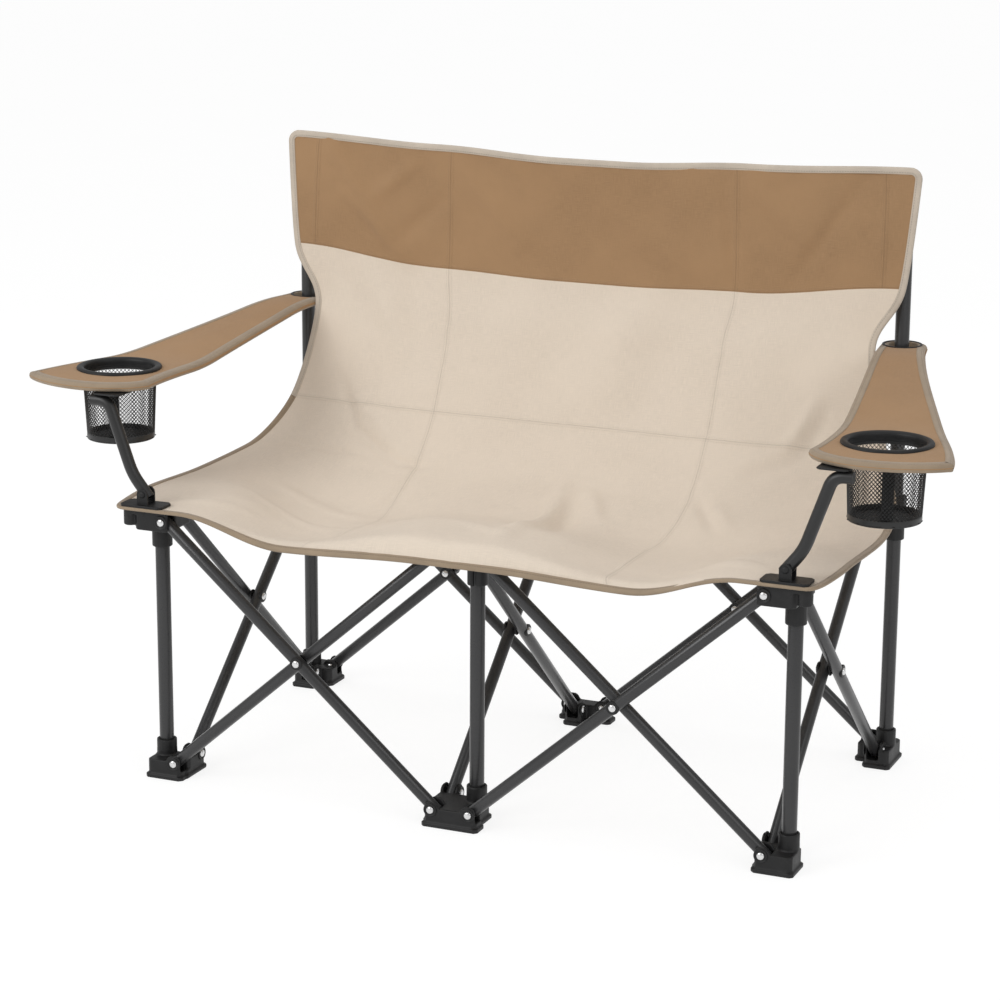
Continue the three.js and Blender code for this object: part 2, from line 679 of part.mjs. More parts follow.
function rearCentreFoot() {
  const pivots = [
    ...pairAcross(REAR_NEAR),
    { at: [CENTRE_RIGHT, DEPTH - PIVOT_BACK], across: 'x', towards: -1 },
  ];
  const outlines = [
    [-HALF, REAR_NEAR - MOULD, HALF, REAR_NEAR + MOULD],
    [CENTRE_RIGHT - MOULD, DEPTH - PIVOT_BACK - EAR, CENTRE_RIGHT + MOULD, DEPTH],
  ];
  return geometryOf(foot(outlines, pivots));
}

function frontCentreConnector() {
  const postAt = [CENTRE_POST_X, 0];
  const pivots = [...pairAcross(FRONT_NEAR), { at: [CENTRE_RIGHT, PIVOT_BACK], across: 'x', towards: 1 }];
  const outlines = [
    [-HALF, FRONT_NEAR - MOULD, HALF, SOCKET_R],
    [CENTRE_RIGHT - MOULD, 0, CENTRE_RIGHT + MOULD, PIVOT_BACK + EAR],
  ];
  const whole = connector(outlines, pivots, [sleeve(postAt)]);
  return geometryOf(cut(whole, [sleeveBore(postAt, FRONT_POST_TOP + 1)]));
}

function rearCentreHub() {
  const pivots = [
    ...pairAcross(REAR_FAR),
    { at: [CENTRE_LEFT, DEPTH - PIVOT_BACK], across: 'x', towards: -1 },
  ];
  const outlines = [
    [-HALF, REAR_FAR - MOULD, HALF, REAR_FAR + MOULD],
    [CENTRE_LEFT - MOULD, DEPTH - PIVOT_BACK - EAR, CENTRE_LEFT + MOULD, REAR_FAR],
  ];
  return geometryOf(connector(outlines, pivots));
}

// Centre line
place(loveseat, 'front_centre_foot', frontCentreFoot(), moulded);
place(loveseat, 'rear_centre_foot', rearCentreFoot(), moulded);
place(loveseat, 'front_centre_connector', frontCentreConnector(), moulded);
place(loveseat, 'rear_centre_hub', rearCentreHub(), moulded);
post(loveseat, 'front_centre_post', [CENTRE_POST_X, 0], FRONT_POST_TOP);
scissor(
  loveseat,
  [0, PIVOT_BACK],
  Math.PI / 2,
  -CENTRE_LEFT,
  -CENTRE_RIGHT,
  'centre_tube_from_front',
  'centre_tube_from_rear',
  'centre_rivet',
);
place(loveseat, 'back_panel', backPanel(), canvas);
place(loveseat, 'seat_rear_panel', clothPanel(SEAM_ROW + SEAM_GAP, FOLD_ROW - SEAM_GAP), canvas);
place(loveseat, 'seat_front_panel', clothPanel(FOLD_ROW + SEAM_GAP, LAST_ROW), canvas);

// Right side, and the left side as its mirror image
for (const [side, mirror] of [['right', 1], ['left', -1]]) {
  const half = new THREE.Group();
  half.scale.x = mirror;
  loveseat.add(half);
  place(half, `front_${side}_foot`, frontCornerFoot(), moulded);
  place(half, `rear_${side}_foot`, rearCornerFoot(), moulded);
  place(half, `front_${side}_connector`, frontConnector(), moulded);
  place(half, `rear_${side}_slider`, rearSlider(), moulded);
  post(half, `front_${side}_post`, [POST_X, 0], FRONT_POST_TOP);
  post(half, `rear_${side}_post`, [POST_X, DEPTH], REAR_POST_TOP);
  const names = (place) => [`${place}_${side}_tube`, `${place}_${side}_rivet`];
  const [frontTube, frontRivet] = names('front');
  const [rearTube, rearRivet] = names('rear');
  const [sideTube, sideRivet] = names('side');
  const front = [PIVOT_IN, 0];
  const along = [0, PIVOT_BACK];
  const quarter = Math.PI / 2;
  const frontPair = [`${frontTube}_from_centre`, `${frontTube}_from_corner`];
  scissor(half, front, 0, FRONT_FAR, FRONT_NEAR, ...frontPair, frontRivet);
  const rearPair = [`${rearTube}_from_centre`, `${rearTube}_from_corner`];
  scissor(half, front, 0, REAR_NEAR, REAR_FAR, ...rearPair, rearRivet);
  const sidePair = [`${sideTube}_from_front`, `${sideTube}_from_rear`];
  scissor(half, along, quarter, -SIDE_INNER, -SIDE_OUTER, ...sidePair, sideRivet);

  place(half, `${side}_corner_plate`, cornerPlate(), moulded);
  place(half, `${side}_arm_support`, armSupport(), steel);
  const arm = new THREE.Group();
  arm.position.z = ARM_Z;
  half.add(arm);
  place(arm, `${side}_armrest_pad`, armrestPad(), brownCanvas);
  place(arm, `${side}_cup_ring`, cupRing(), moulded, [CUP_X, CUP_Y, 0]);
  place(arm, `${side}_cup_basket`, basket(), blackMesh, [CUP_X, CUP_Y, 0]);
  place(arm, `${side}_armrest_eyelet`, eyelet(), moulded, [...EYELET_AT, ARM_RISE]);
  const bracketTop = -PAD_T - GAP;
  const bracketPlan = cutCorners(
    SUPPORT_TOP_X - BRACKET_HALF,
    ARM_Y - BRACKET_HALF / 2,
    SUPPORT_TOP_X + BRACKET_HALF,
    ARM_Y + 2 * BRACKET_HALF,
  );
  const bracket = slab(bracketPlan, bracketTop - BRACKET_T, bracketTop);
  place(arm, `${side}_armrest_bracket`, geometryOf(bracket), steel);
}

// Origin on the floor under the middle of the whole
loveseat.updateMatrixWorld(true);
const bounds = new THREE.Box3().setFromObject(loveseat, true);
const middle = bounds.getCenter(new THREE.Vector3());
loveseat.position.set(-middle.x, -middle.y, -bounds.min.z);

export default loveseat;
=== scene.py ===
"""Looks of a folding camping loveseat: canvas sling, padded armrests, cup holders and steel frame."""

import json
import math
from bisect import bisect

import bmesh
import bpy
from mathutils import Matrix, Vector, kdtree, noise

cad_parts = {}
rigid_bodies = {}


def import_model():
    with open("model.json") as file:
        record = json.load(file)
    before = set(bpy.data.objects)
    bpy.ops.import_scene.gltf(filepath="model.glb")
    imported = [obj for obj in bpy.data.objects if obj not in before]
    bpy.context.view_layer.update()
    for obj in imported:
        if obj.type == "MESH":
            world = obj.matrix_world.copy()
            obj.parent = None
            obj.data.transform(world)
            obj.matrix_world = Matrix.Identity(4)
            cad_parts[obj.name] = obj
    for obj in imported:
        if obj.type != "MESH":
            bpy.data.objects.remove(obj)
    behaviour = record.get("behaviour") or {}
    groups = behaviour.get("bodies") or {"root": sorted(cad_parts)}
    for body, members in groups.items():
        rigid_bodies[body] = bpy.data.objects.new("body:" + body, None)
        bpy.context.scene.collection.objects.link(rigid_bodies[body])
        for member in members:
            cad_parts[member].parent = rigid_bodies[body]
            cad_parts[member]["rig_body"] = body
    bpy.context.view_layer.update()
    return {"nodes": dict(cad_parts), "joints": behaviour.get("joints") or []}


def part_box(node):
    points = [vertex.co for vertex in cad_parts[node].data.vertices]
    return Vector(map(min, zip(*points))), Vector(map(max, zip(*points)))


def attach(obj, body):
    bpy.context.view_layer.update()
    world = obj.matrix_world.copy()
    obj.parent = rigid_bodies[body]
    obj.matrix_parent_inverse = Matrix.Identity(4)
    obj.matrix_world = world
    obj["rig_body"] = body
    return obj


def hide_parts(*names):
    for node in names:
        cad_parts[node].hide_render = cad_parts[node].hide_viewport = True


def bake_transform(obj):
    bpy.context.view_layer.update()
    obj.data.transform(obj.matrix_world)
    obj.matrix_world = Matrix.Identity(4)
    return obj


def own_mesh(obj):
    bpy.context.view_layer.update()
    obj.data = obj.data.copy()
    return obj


bl_info = {
    "name": "Folding loveseat",
    "version": (1, 0, 0),
    "blender": (4, 5, 0),
    "location": "3D View > Sidebar > Loveseat",
    "description": "Dresses the solids of a folding camp seat with cloth, tubes, mouldings and rivets",
    "category": "Object",
}

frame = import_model()
SIDES = (("left", -1), ("right", 1))


def middle(node):
    """The middle of a solid's box."""
    low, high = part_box(node)
    return (low + high) / 2


def half_width(node):
    """Half the width of a solid's box."""
    low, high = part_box(node)
    return (high.x - low.x) / 2


def pivot(joint):
    """Where a joint of the record turns."""
    return Vector(next(j for j in frame["joints"] if j["name"] == joint)["pos_m"])


def nodes_named(*ends):
    """The solids whose names end in one of some words."""
    return [node for node in frame["nodes"] if node.endswith(ends)]


def body_of(node):
    """The body that a solid rides on."""
    return frame["nodes"][node]["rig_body"]


# Places that the solids give. The seat's own measures run from the line of the front posts.
FRONT_Y = middle("front_right_post").y
POST_X = middle("front_right_post").x
REAR = middle("rear_right_post").y - FRONT_Y
TUBE_R = half_width("centre_tube_from_rear")
POST_R = half_width("front_right_post")
LOW_Z = pivot("front_right_foot_pivot").z
HIGH_Z = pivot("front_right_connector_pivot").z
CORNER_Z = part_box("front_centre_connector")[1].z + 0.0018  # the sling's hem on the front heads
BACK_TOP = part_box("back_panel")[1].z
ARM_Y = middle("right_arm_support").y - FRONT_Y
PAD_T = 0.013  # thickness of an armrest
ARM_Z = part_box("right_armrest_pad")[0].z + PAD_T
ARM_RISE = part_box("right_armrest_pad")[1].z - ARM_Z
CUP = (middle("right_cup_ring").x, middle("right_cup_ring").y - FRONT_Y)
EYELET = (middle("right_armrest_eyelet").x, middle("right_armrest_eyelet").y - FRONT_Y)
EYELET_EDGE = 0.034  # eyelet centre to the edge of the armrest
WALL_FACE = TUBE_R + 0.0045  # pivot to the outer face of the moulding beside it
CAST = ("_foot", "_connector", "_slider", "_hub")  # mouldings that hold pivots
UP = Vector((0, 0, 1))
STAY = Matrix.Identity(4)


def at(x, y, z):
    """A point measured from the front posts, in the row frame."""
    return Vector((x, y + FRONT_Y, z))


def arm_rise(y):
    """Height of an armrest above its cup holder: level, a steady climb, then level round the rear post."""
    level, bend = 0.067, 0.2  # reach of the level part past the cup, and share of the climb that bends
    start, end = CUP[1] + level, EYELET[1] - EYELET_EDGE
    share = min(max((y - start) / (end - start), 0.0), 1.0)
    near = min(share, 1 - share)
    climb = near * near / (2 * bend) if near < bend else near - bend / 2
    return ARM_RISE * (climb if share < 0.5 else 1 - bend - climb) / (1 - bend)


def on_arm(side, x, y, z):
    """A point of an armrest, whose top is z = 0."""
    return at(side * x, y, z + ARM_Z + arm_rise(y))


# Settings


def colour_property(name, description, default):
    return bpy.props.FloatVectorProperty(
        name=name, description=description, subtype="COLOR", default=default, size=3
    )


def length_property(name, description, default):
    return bpy.props.FloatProperty(name=name, description=description, subtype="DISTANCE", default=default)


class LoveseatCloth(bpy.types.PropertyGroup):
    """Colours and sizes of the cloth."""

    canvas: colour_property("Canvas", "Seat and back", (0.7, 0.605, 0.5))
    band: colour_property("Band", "Band across the back", (0.344, 0.207, 0.105))
    armrest: colour_property("Armrest", "Armrest covers", (0.343, 0.2, 0.094))
    binding: colour_property("Binding", "Tape round the seat and armrests", (0.3, 0.225, 0.15))
    back_binding: colour_property("Back binding", "Tape round the back", (0.52, 0.45, 0.37))
    thickness: length_property("Thickness", "Doubled canvas", 0.0022)
    thread: length_property("Thread", "Pitch of the weave", 0.0011)
    crumple: bpy.props.FloatProperty(name="Crumple", description="Strength of the creases", default=1.35)


class LoveseatFrame(bpy.types.PropertyGroup):
    """Colours and sizes of the frame."""

    coat: colour_property("Coat", "Powder coat of the tubes", (0.037, 0.037, 0.038))
    moulding: colour_property("Moulding", "Feet and connectors", (0.009, 0.009, 0.0093))
    rivet: colour_property("Rivet", "Bare steel", (0.72, 0.72, 0.72))
    edge: length_property("Edge", "Rounding of the plates' edges", 0.0014)
    wire: length_property("Wire", "Thickness of the basket wire", 0.0014)
    mesh: length_property("Mesh", "Pitch of the basket mesh", 0.0060)


def cloth():
    return bpy.context.scene.loveseat_cloth


def metal():
    return bpy.context.scene.loveseat_frame


# Finishes


class Nodes:
    """Short ways to add nodes to a tree. A value is a constant or another node's socket."""

    def __init__(self, tree):
        self.tree = tree

    def node(self, kind, inputs=None, **props):
        made = self.tree.nodes.new(kind)
        for key, value in props.items():
            setattr(made, key, value)
        for key, value in (inputs or {}).items():
            self.feed(made.inputs[key], value)
        return made

    def feed(self, socket, value):
        if isinstance(value, bpy.types.NodeSocket):
            self.tree.links.new(value, socket)
        else:
            socket.default_value = value

    def math(self, operation, a, b=0.0, clamp=False):
        return self.node("ShaderNodeMath", {0: a, 1: b}, operation=operation, use_clamp=clamp).outputs[0]

    def times(self, a, b):
        return self.math("MULTIPLY", a, b)

    def minus(self, a, b):
        return self.math("SUBTRACT", a, b)

    def apart(self, value, place):
        return self.math("ABSOLUTE", self.minus(value, place))

    def line(self, value, slope, start):
        """A value times a slope, from a start."""
        inputs = {0: value, 1: slope, 2: start}
        return self.node("ShaderNodeMath", inputs, operation="MULTIPLY_ADD").outputs[0]

    def stitches(self, beside, reach, along, per_metre):
        """A row of stitches: 1 within reach of the row's line, but for the gaps between stitches."""
        gap = 0.35
        dash = self.math("GREATER_THAN", self.math("FRACT", self.times(along, per_metre)), gap)
        return self.times(self.math("LESS_THAN", beside, reach), dash)

    def step(self, value, low, high):
        """0 below low and 1 above high, smooth in between."""
        ramp = self.node("ShaderNodeMapRange", {0: value, 1: low, 2: high}, interpolation_type="SMOOTHSTEP")
        return ramp.outputs[0]

    def mix(self, factor, a, b):
        made = self.node("ShaderNodeMix", data_type="RGBA")
        for index, value in ((0, factor), (6, a), (7, b)):
            self.feed(made.inputs[index], value)
        return made.outputs[2]

    def object_point(self):
        return self.node("ShaderNodeTexCoord").outputs["Object"]

    def uv(self, layer):
        return self.node("ShaderNodeUVMap", uv_map=layer).outputs[0]

    def noise(self, point, scale, detail=2.0, rough=0.5):
        inputs = {"Vector": point, "Scale": scale, "Detail": detail, "Roughness": rough}
        return self.node("ShaderNodeTexNoise", inputs).outputs["Fac"]

    def stretch(self, point, scale):
        return self.node("ShaderNodeMapping", {"Vector": point, "Scale": scale}).outputs[0]

    def bump(self, height, distance, strength=1.0, normal=None):
        inputs = {"Height": height, "Distance": distance, "Strength": strength}
        if normal is not None:
            inputs["Normal"] = normal
        return self.node("ShaderNodeBump", inputs).outputs[0]


class Finish(Nodes):
    """A node material that starts from one Principled shader."""

    def __init__(self, name):
        self.material = bpy.data.materials.new(name)
        self.material.use_nodes = True
        super().__init__(self.material.node_tree)
        self.shader = self.tree.nodes["Principled BSDF"]

    def set(self, **values):
        for key, value in values.items():
            self.feed(self.shader.inputs[key.replace("_", " ")], value)


def shade(colour, factor):
    """A lighter or darker colour, with its alpha."""
    return (*[min(1.0, c * factor) for c in colour], 1.0)


def powder_coat():
    finish = Finish("powder_coat")
    point = finish.object_point()
    cloud = finish.noise(point, 9.0, 3.0)
    grain = finish.noise(point, 1400.0, 2.0, 0.6)
    colour = metal().coat
    finish.set(
        Base_Color=finish.mix(cloud, shade(colour, 0.85), shade(colour, 1.2)),
        Metallic=0.25,
        Roughness=finish.line(grain, 0.12, 0.23),
        Normal=finish.bump(grain, 0.00012, 0.12),
    )
    return finish.material


def moulding():
    finish = Finish("moulding")
    point = finish.object_point()
    grain = finish.noise(point, 900.0, 3.0, 0.6)
    scuff = finish.noise(point, 45.0, 4.0, 0.65)
    colour = metal().moulding
    finish.set(
        Base_Color=finish.mix(finish.step(scuff, 0.4, 0.75), shade(colour, 0.85), shade(colour, 1.6)),
        Roughness=finish.line(scuff, 0.25, 0.38),
        Specular_IOR_Level=0.35,
        Normal=finish.bump(grain, 0.00018, 0.6),
    )
    return finish.material


def bright_steel():
    finish = Finish("bright_steel")
    lines = finish.noise(finish.object_point(), 500.0, 3.0)
    colour = metal().rivet
    finish.set(
        Base_Color=finish.mix(lines, shade(colour, 0.8), shade(colour, 1.1)),
        Metallic=1.0,
        Roughness=finish.line(lines, 0.2, 0.16),
        Normal=finish.bump(lines, 0.00008, 0.4),
    )
    return finish.material


def black_wire():
    finish = Finish("black_wire")
    grain = finish.noise(finish.object_point(), 1200.0)
    finish.set(
        Base_Color=finish.mix(grain, (0.006, 0.006, 0.006, 1), (0.014, 0.014, 0.014, 1)),
        Roughness=finish.line(grain, 0.2, 0.3),
        Normal=finish.bump(grain, 0.0001, 0.4),
    )
    return finish.material


def woven(name, colour, seams=(), mottle=0.06):
    """Plain-woven canvas on two maps: cloth is in metres, pattern counts half widths and rows.

    A seam is (map axis, place, metres per map unit, row where it ends)."""
    wave_length = 0.31416  # of a Wave texture at scale 1
    ridge_reach, groove_reach = (0.001, 0.006), (0.0001, 0.0012)
    stitch_off, stitch_half, per_metre = 0.0036, 0.00055, 240.0
    finish = Finish(name)
    metres = finish.uv("cloth")
    wave = {"Vector": metres, "Scale": wave_length / cloth().thread}
    wave.update({"Distortion": 1.2, "Detail": 2.0, "Detail Scale": 0.4})
    ribs = [finish.node("ShaderNodeTexWave", wave, bands_direction=way).outputs["Fac"] for way in "XY"]
    weave = finish.math("MAXIMUM", *ribs)
    long, short = 60.0, 1400.0  # waves per metre along a thread and across it
    slubs = [finish.noise(finish.stretch(metres, (*way, 1.0)), 1.0) for way in ((long, short), (short, long))]
    threads = finish.math("ADD", *slubs)
    fade = finish.noise(metres, 5.0, 4.0, 0.6)
    base = finish.mix(finish.step(fade, 0.25, 0.75), shade(colour, 1 - mottle), shade(colour, 1 + mottle))
    base = finish.mix(finish.step(threads, 0.7, 1.35), base, shade(colour, 1.1))
    base = finish.mix(finish.times(weave, 0.12), base, shade(colour, 0.72))
    normal = finish.bump(weave, 0.00025, 0.55)
    normal = finish.bump(threads, 0.0002, 0.35, normal)
    if seams:
        split = finish.node("ShaderNodeSeparateXYZ", {0: finish.uv("pattern")})
        across, row = finish.math("ABSOLUTE", split.outputs[0]), split.outputs[1]
        run = finish.node("ShaderNodeSeparateXYZ", {0: metres})
        for axis, place, scale, last_row in seams:
            far, along = (across, run.outputs[1]) if axis == "u" else (row, run.outputs[0])
            near = finish.math("ABSOLUTE", finish.times(finish.minus(far, place), scale))
            here = finish.math("LESS_THAN", row, last_row)
            ridge, groove = (
                finish.times(finish.minus(1.0, finish.step(near, *reach)), here)
                for reach in (ridge_reach, groove_reach)
            )
            sewn = finish.stitches(finish.apart(near, stitch_off), stitch_half, along, per_metre)
            stitch = finish.times(sewn, here)
            height = finish.minus(ridge, finish.times(groove, 0.9))
            normal = finish.bump(height, 0.0009, 0.6, normal)
            normal = finish.bump(stitch, 0.0004, 0.6, normal)
            # Painted shade: the canvas colour is darkened along each seam's groove, where shade falls into
            # the fold. The darker stitches below are the thread's own colour.
            base = finish.mix(finish.times(groove, 0.28), base, shade(colour, 0.5))
            base = finish.mix(finish.times(stitch, 0.16), base, shade(colour, 0.7))
    finish.set(Base_Color=base, Roughness=0.86, Specular_IOR_Level=0.25)
    finish.set(Sheen_Weight=0.12, Sheen_Roughness=0.6, Normal=normal)
    return finish.material


def tape(name, colour):
    """Ribbed binding tape with a row of stitches along its inner side, on the map of its sweep."""
    stitch_off, stitch_half, per_metre = 0.0095, 0.0006, 250.0
    finish = Finish(name)
    metres = finish.uv("cloth")
    split = finish.node("ShaderNodeSeparateXYZ", {0: metres})
    wave = {"Vector": metres, "Scale": 230.0, "Distortion": 0.6}
    ribs = finish.node("ShaderNodeTexWave", wave, bands_direction="Y")
    beside = finish.apart(split.outputs[0], stitch_off)
    stitch = finish.stitches(beside, stitch_half, split.outputs[1], per_metre)
    fade = finish.noise(metres, 14.0, 4.0, 0.65)
    base = finish.mix(fade, shade(colour, 0.72), shade(colour, 1.3))
    base = finish.mix(finish.times(stitch, 0.6), base, shade(colour, 0.6))
    normal = finish.bump(ribs.outputs["Fac"], 0.0003, 0.5)
    normal = finish.bump(stitch, 0.0005, 0.7, normal)
    finish.set(Base_Color=base, Roughness=0.75, Sheen_Weight=0.2, Sheen_Roughness=0.5, Normal=normal)
    return finish.material


def finish_of(make, *args):
    """A finish that is made once and shared."""
    name = args[0] if args else make.__name__
    known = {m.get("finish"): m for m in bpy.data.materials}
    if name not in known:
        known[name] = make(*args)
        known[name]["finish"] = name
    return known[name]


# Shapes


def piece(name, bm, *materials, flat_angle=None):
    """A bmesh as an object at the origin, smooth but for edges sharper than flat_angle."""
    mesh = bpy.data.meshes.new(name)
    bm.to_mesh(mesh)
    bm.free()
    for material in materials:
        mesh.materials.append(material)
    mesh.shade_smooth()
    if flat_angle is not None:
        mesh.set_sharp_from_angle(angle=flat_angle)
    made = bpy.data.objects.new(name, mesh)
    bpy.context.scene.collection.objects.link(made)
    return made


def settle(made, body, node=None):
    """Makes a piece ride on a body and stand for a solid."""
    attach(made, body)
    if node:
        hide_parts(node)


def unmake(made):
    """An object's mesh as a bmesh again, without the object."""
    bm, mesh = bmesh.new(), made.data
    bm.from_mesh(mesh)
    bpy.data.objects.remove(made)
    bpy.data.meshes.remove(mesh)
    return bm


def modify(made, kind, **values):
    """Adds a modifier with its settings."""
    added = made.modifiers.new(kind.lower(), kind)
    for key, value in values.items():
        setattr(added, key, value)


def apply_modifiers(made):
    """Bakes an object's modifiers into its mesh."""
    bpy.context.view_layer.update()
    graph = bpy.context.evaluated_depsgraph_get()
    mesh = bpy.data.meshes.new_from_object(made.evaluated_get(graph))
    old = made.data
    made.modifiers.clear()
    made.data = mesh
    bpy.data.meshes.remove(old)


def grid(across, along, place, tile=None, material=None):
    """A grid whose points go where place(a, b) says, a and b from 0 to 1. tile gives each map's place."""
    bm = bmesh.new()
    bmesh.ops.create_grid(bm, x_segments=across, y_segments=along, size=1.0)
    shares = {v: ((v.co.x + 1) / 2, (v.co.y + 1) / 2) for v in bm.verts}
    maps = {name: bm.loops.layers.uv.new(name) for name in (tile or {})}
    for face in bm.faces:
        for loop in face.loops:
            for name, layer in maps.items():
                loop[layer].uv = tile[name](*shares[loop.vert])
        if material:
            face.material_index = material(*[sum(shares[v][k] for v in face.verts) / 4 for k in (0, 1)])
    for vert, share in shares.items():
        vert.co = place(*share)
    return bm


def run_lengths(points):
    """The length of a path up to each of its points."""
    lengths = [0.0]
    for a, b in zip(points, points[1:]):
        lengths.append(lengths[-1] + math.dist(a, b))
    return lengths


def sweep(frames, profile, closed_path=False):
    """A profile of (inward, outward) offsets carried along frames of (point, inward, outward)."""
    count, lap = len(frames) - 1, len(profile)
    ring = [*profile, profile[0]]
    widths, lengths = run_lengths(ring), run_lengths([point for point, *_ in frames])

    def place(a, b):
        point, inward, outward = frames[round(b * count)]
        x, y = ring[round(a * lap)]
        return point + inward * x + outward * y

    def tile(a, b):
        return widths[round(a * lap)], lengths[round(b * count)]

    bm = grid(lap, count, place, {"cloth": tile})
    bmesh.ops.remove_doubles(bm, verts=bm.verts, dist=1e-6)
    if not closed_path:
        bmesh.ops.holes_fill(bm, edges=[e for e in bm.edges if e.is_boundary])
    bmesh.ops.recalc_face_normals(bm, faces=bm.faces)
    return bm


def turned(profile, steps):
    """A closed profile of (radius, height) spun about Z."""
    bm = bmesh.new()
    verts = [bm.verts.new((r, 0, z)) for r, z in profile]
    edges = [bm.edges.new(pair) for pair in zip(verts, verts[1:])]
    if profile[0][0] > 1e-6:
        edges.append(bm.edges.new((verts[-1], verts[0])))
    bmesh.ops.spin(
        bm, geom=verts + edges, cent=(0, 0, 0), axis=(0, 0, 1), angle=2 * math.pi, steps=steps, use_merge=True
    )
    bmesh.ops.remove_doubles(bm, verts=bm.verts, dist=1e-7)
    bmesh.ops.recalc_face_normals(bm, faces=bm.faces)
    return bm


def join_in(bm, other, matrix=STAY):
    """Adds another bmesh, moved by a matrix."""
    mesh = bpy.data.meshes.new("part")
    other.to_mesh(mesh)
    other.free()
    mesh.transform(matrix)
    bm.from_mesh(mesh)
    bpy.data.meshes.remove(mesh)
    return bm


def facing(point, way):
    """A matrix that carries +Z at the origin to a point and a way."""
    return Matrix.Translation(point) @ Vector(way).to_track_quat("Z", "Y").to_matrix().to_4x4()


def bevel(bm, edges, width):
    """Rounds edges."""
    bmesh.ops.bevel(bm, geom=edges, offset=width, segments=2, profile=0.5, affect="EDGES", material=-1)


def rod(a, b, radius, segments=40):
    """A round bar from a to b with eased ends."""
    bm = bmesh.new()
    length, eased = (b - a).length, 0.0012
    bmesh.ops.create_cone(bm, cap_ends=True, segments=segments, radius1=radius, radius2=radius, depth=length)
    rims = [e for e in bm.edges if abs(e.verts[0].co.z - e.verts[1].co.z) < 1e-9]
    bevel(bm, rims, eased)
    bmesh.ops.transform(bm, matrix=facing((a + b) / 2, b - a), verts=bm.verts)
    return bm


def box(low, high):
    """A block between two corners."""
    bm = bmesh.new()
    bmesh.ops.create_cube(bm, size=1.0)
    bmesh.ops.scale(bm, vec=high - low, verts=bm.verts)
    bmesh.ops.translate(bm, vec=(low + high) / 2, verts=bm.verts)
    return bm


def bent(points, turn):
    """A smooth path through points with rounded corners."""
    path, segments = [points[0]], 10
    for a, b, c in zip(points, points[1:], points[2:]):
        back, ahead = (a - b).normalized(), (c - b).normalized()
        start, end = b + back * turn, b + ahead * turn
        for k in range(segments + 1):
            t = k / segments
            path.append(start * (1 - t) ** 2 + b * 2 * t * (1 - t) + end * t * t)
    path.append(points[-1])
    return path


# Sling
# Rows from the top of the back to the front hem: half width, side hem y and z, way from the hem to the
# bottom of a bucket in y and z, share of that way left between the buckets, level share beside the hem.

WAIST_Z = ARM_Z + ARM_RISE - 0.005  # the back is narrowest where the armrests pass it
ROWS = (
    (POST_X + 0.024, REAR - 0.0128, BACK_TOP + 0.005, -0.001, -0.009, 2.0, 0.0),
    (POST_X + 0.008, REAR - 0.0258, WAIST_Z + 0.35 * (BACK_TOP - WAIST_Z), 0.008, -0.025, 1.25, 0.0),
    (POST_X - 0.033, REAR - 0.0348, WAIST_Z, -0.010, -0.026, 0.9, 0.0),
    (POST_X, REAR - 0.0628, CORNER_Z + 0.076, -0.039, 0.005, 0.9, 0.0),
    (POST_X + 0.040, REAR - 0.1438, CORNER_Z + 0.006, -0.055, -0.012, 0.6, 0.0),
    (POST_X + 0.055, 0.215, CORNER_Z - 0.004, -0.030, -0.040, 0.5, 0.05),
    (POST_X + 0.056, 0.060, CORNER_Z + 0.0015, -0.010, -0.044, 0.0, 0.22),
    (POST_X + 0.048, -0.0365, CORNER_Z, 0.0, -0.030, 0.0, 0.20),
    (POST_X + 0.040, -0.066, CORNER_Z, 0.008, -0.039, 0.8, 0.19),
)
LAST = len(ROWS) - 1
BAND_ROW, SEAM_ROW, FOLD_ROW = 1.0, 3.0, 4.6  # ends of the band, the back and the rear length of the seat
CREST, POCKET_U = 0.1, 0.89  # half width of the crest between the buckets, and place of the pockets' seams
SEAM_U = (  # row and place of the seams that run down each bucket
    (0, 0.45), (1.3, 0.478), (2, 0.494), (2.5, 0.478), (3, 0.455), (3.7, 0.43),
    (4.3, 0.42), (5.2, 0.39), (6.2, 0.4), (7.2, 0.43), (8, 0.46),
)
TOP_ROUND, FRONT_ROUND = 0.018, 0.012  # radii of the sling's corners
RUN_STEPS = 20  # steps per row in the table of lengths

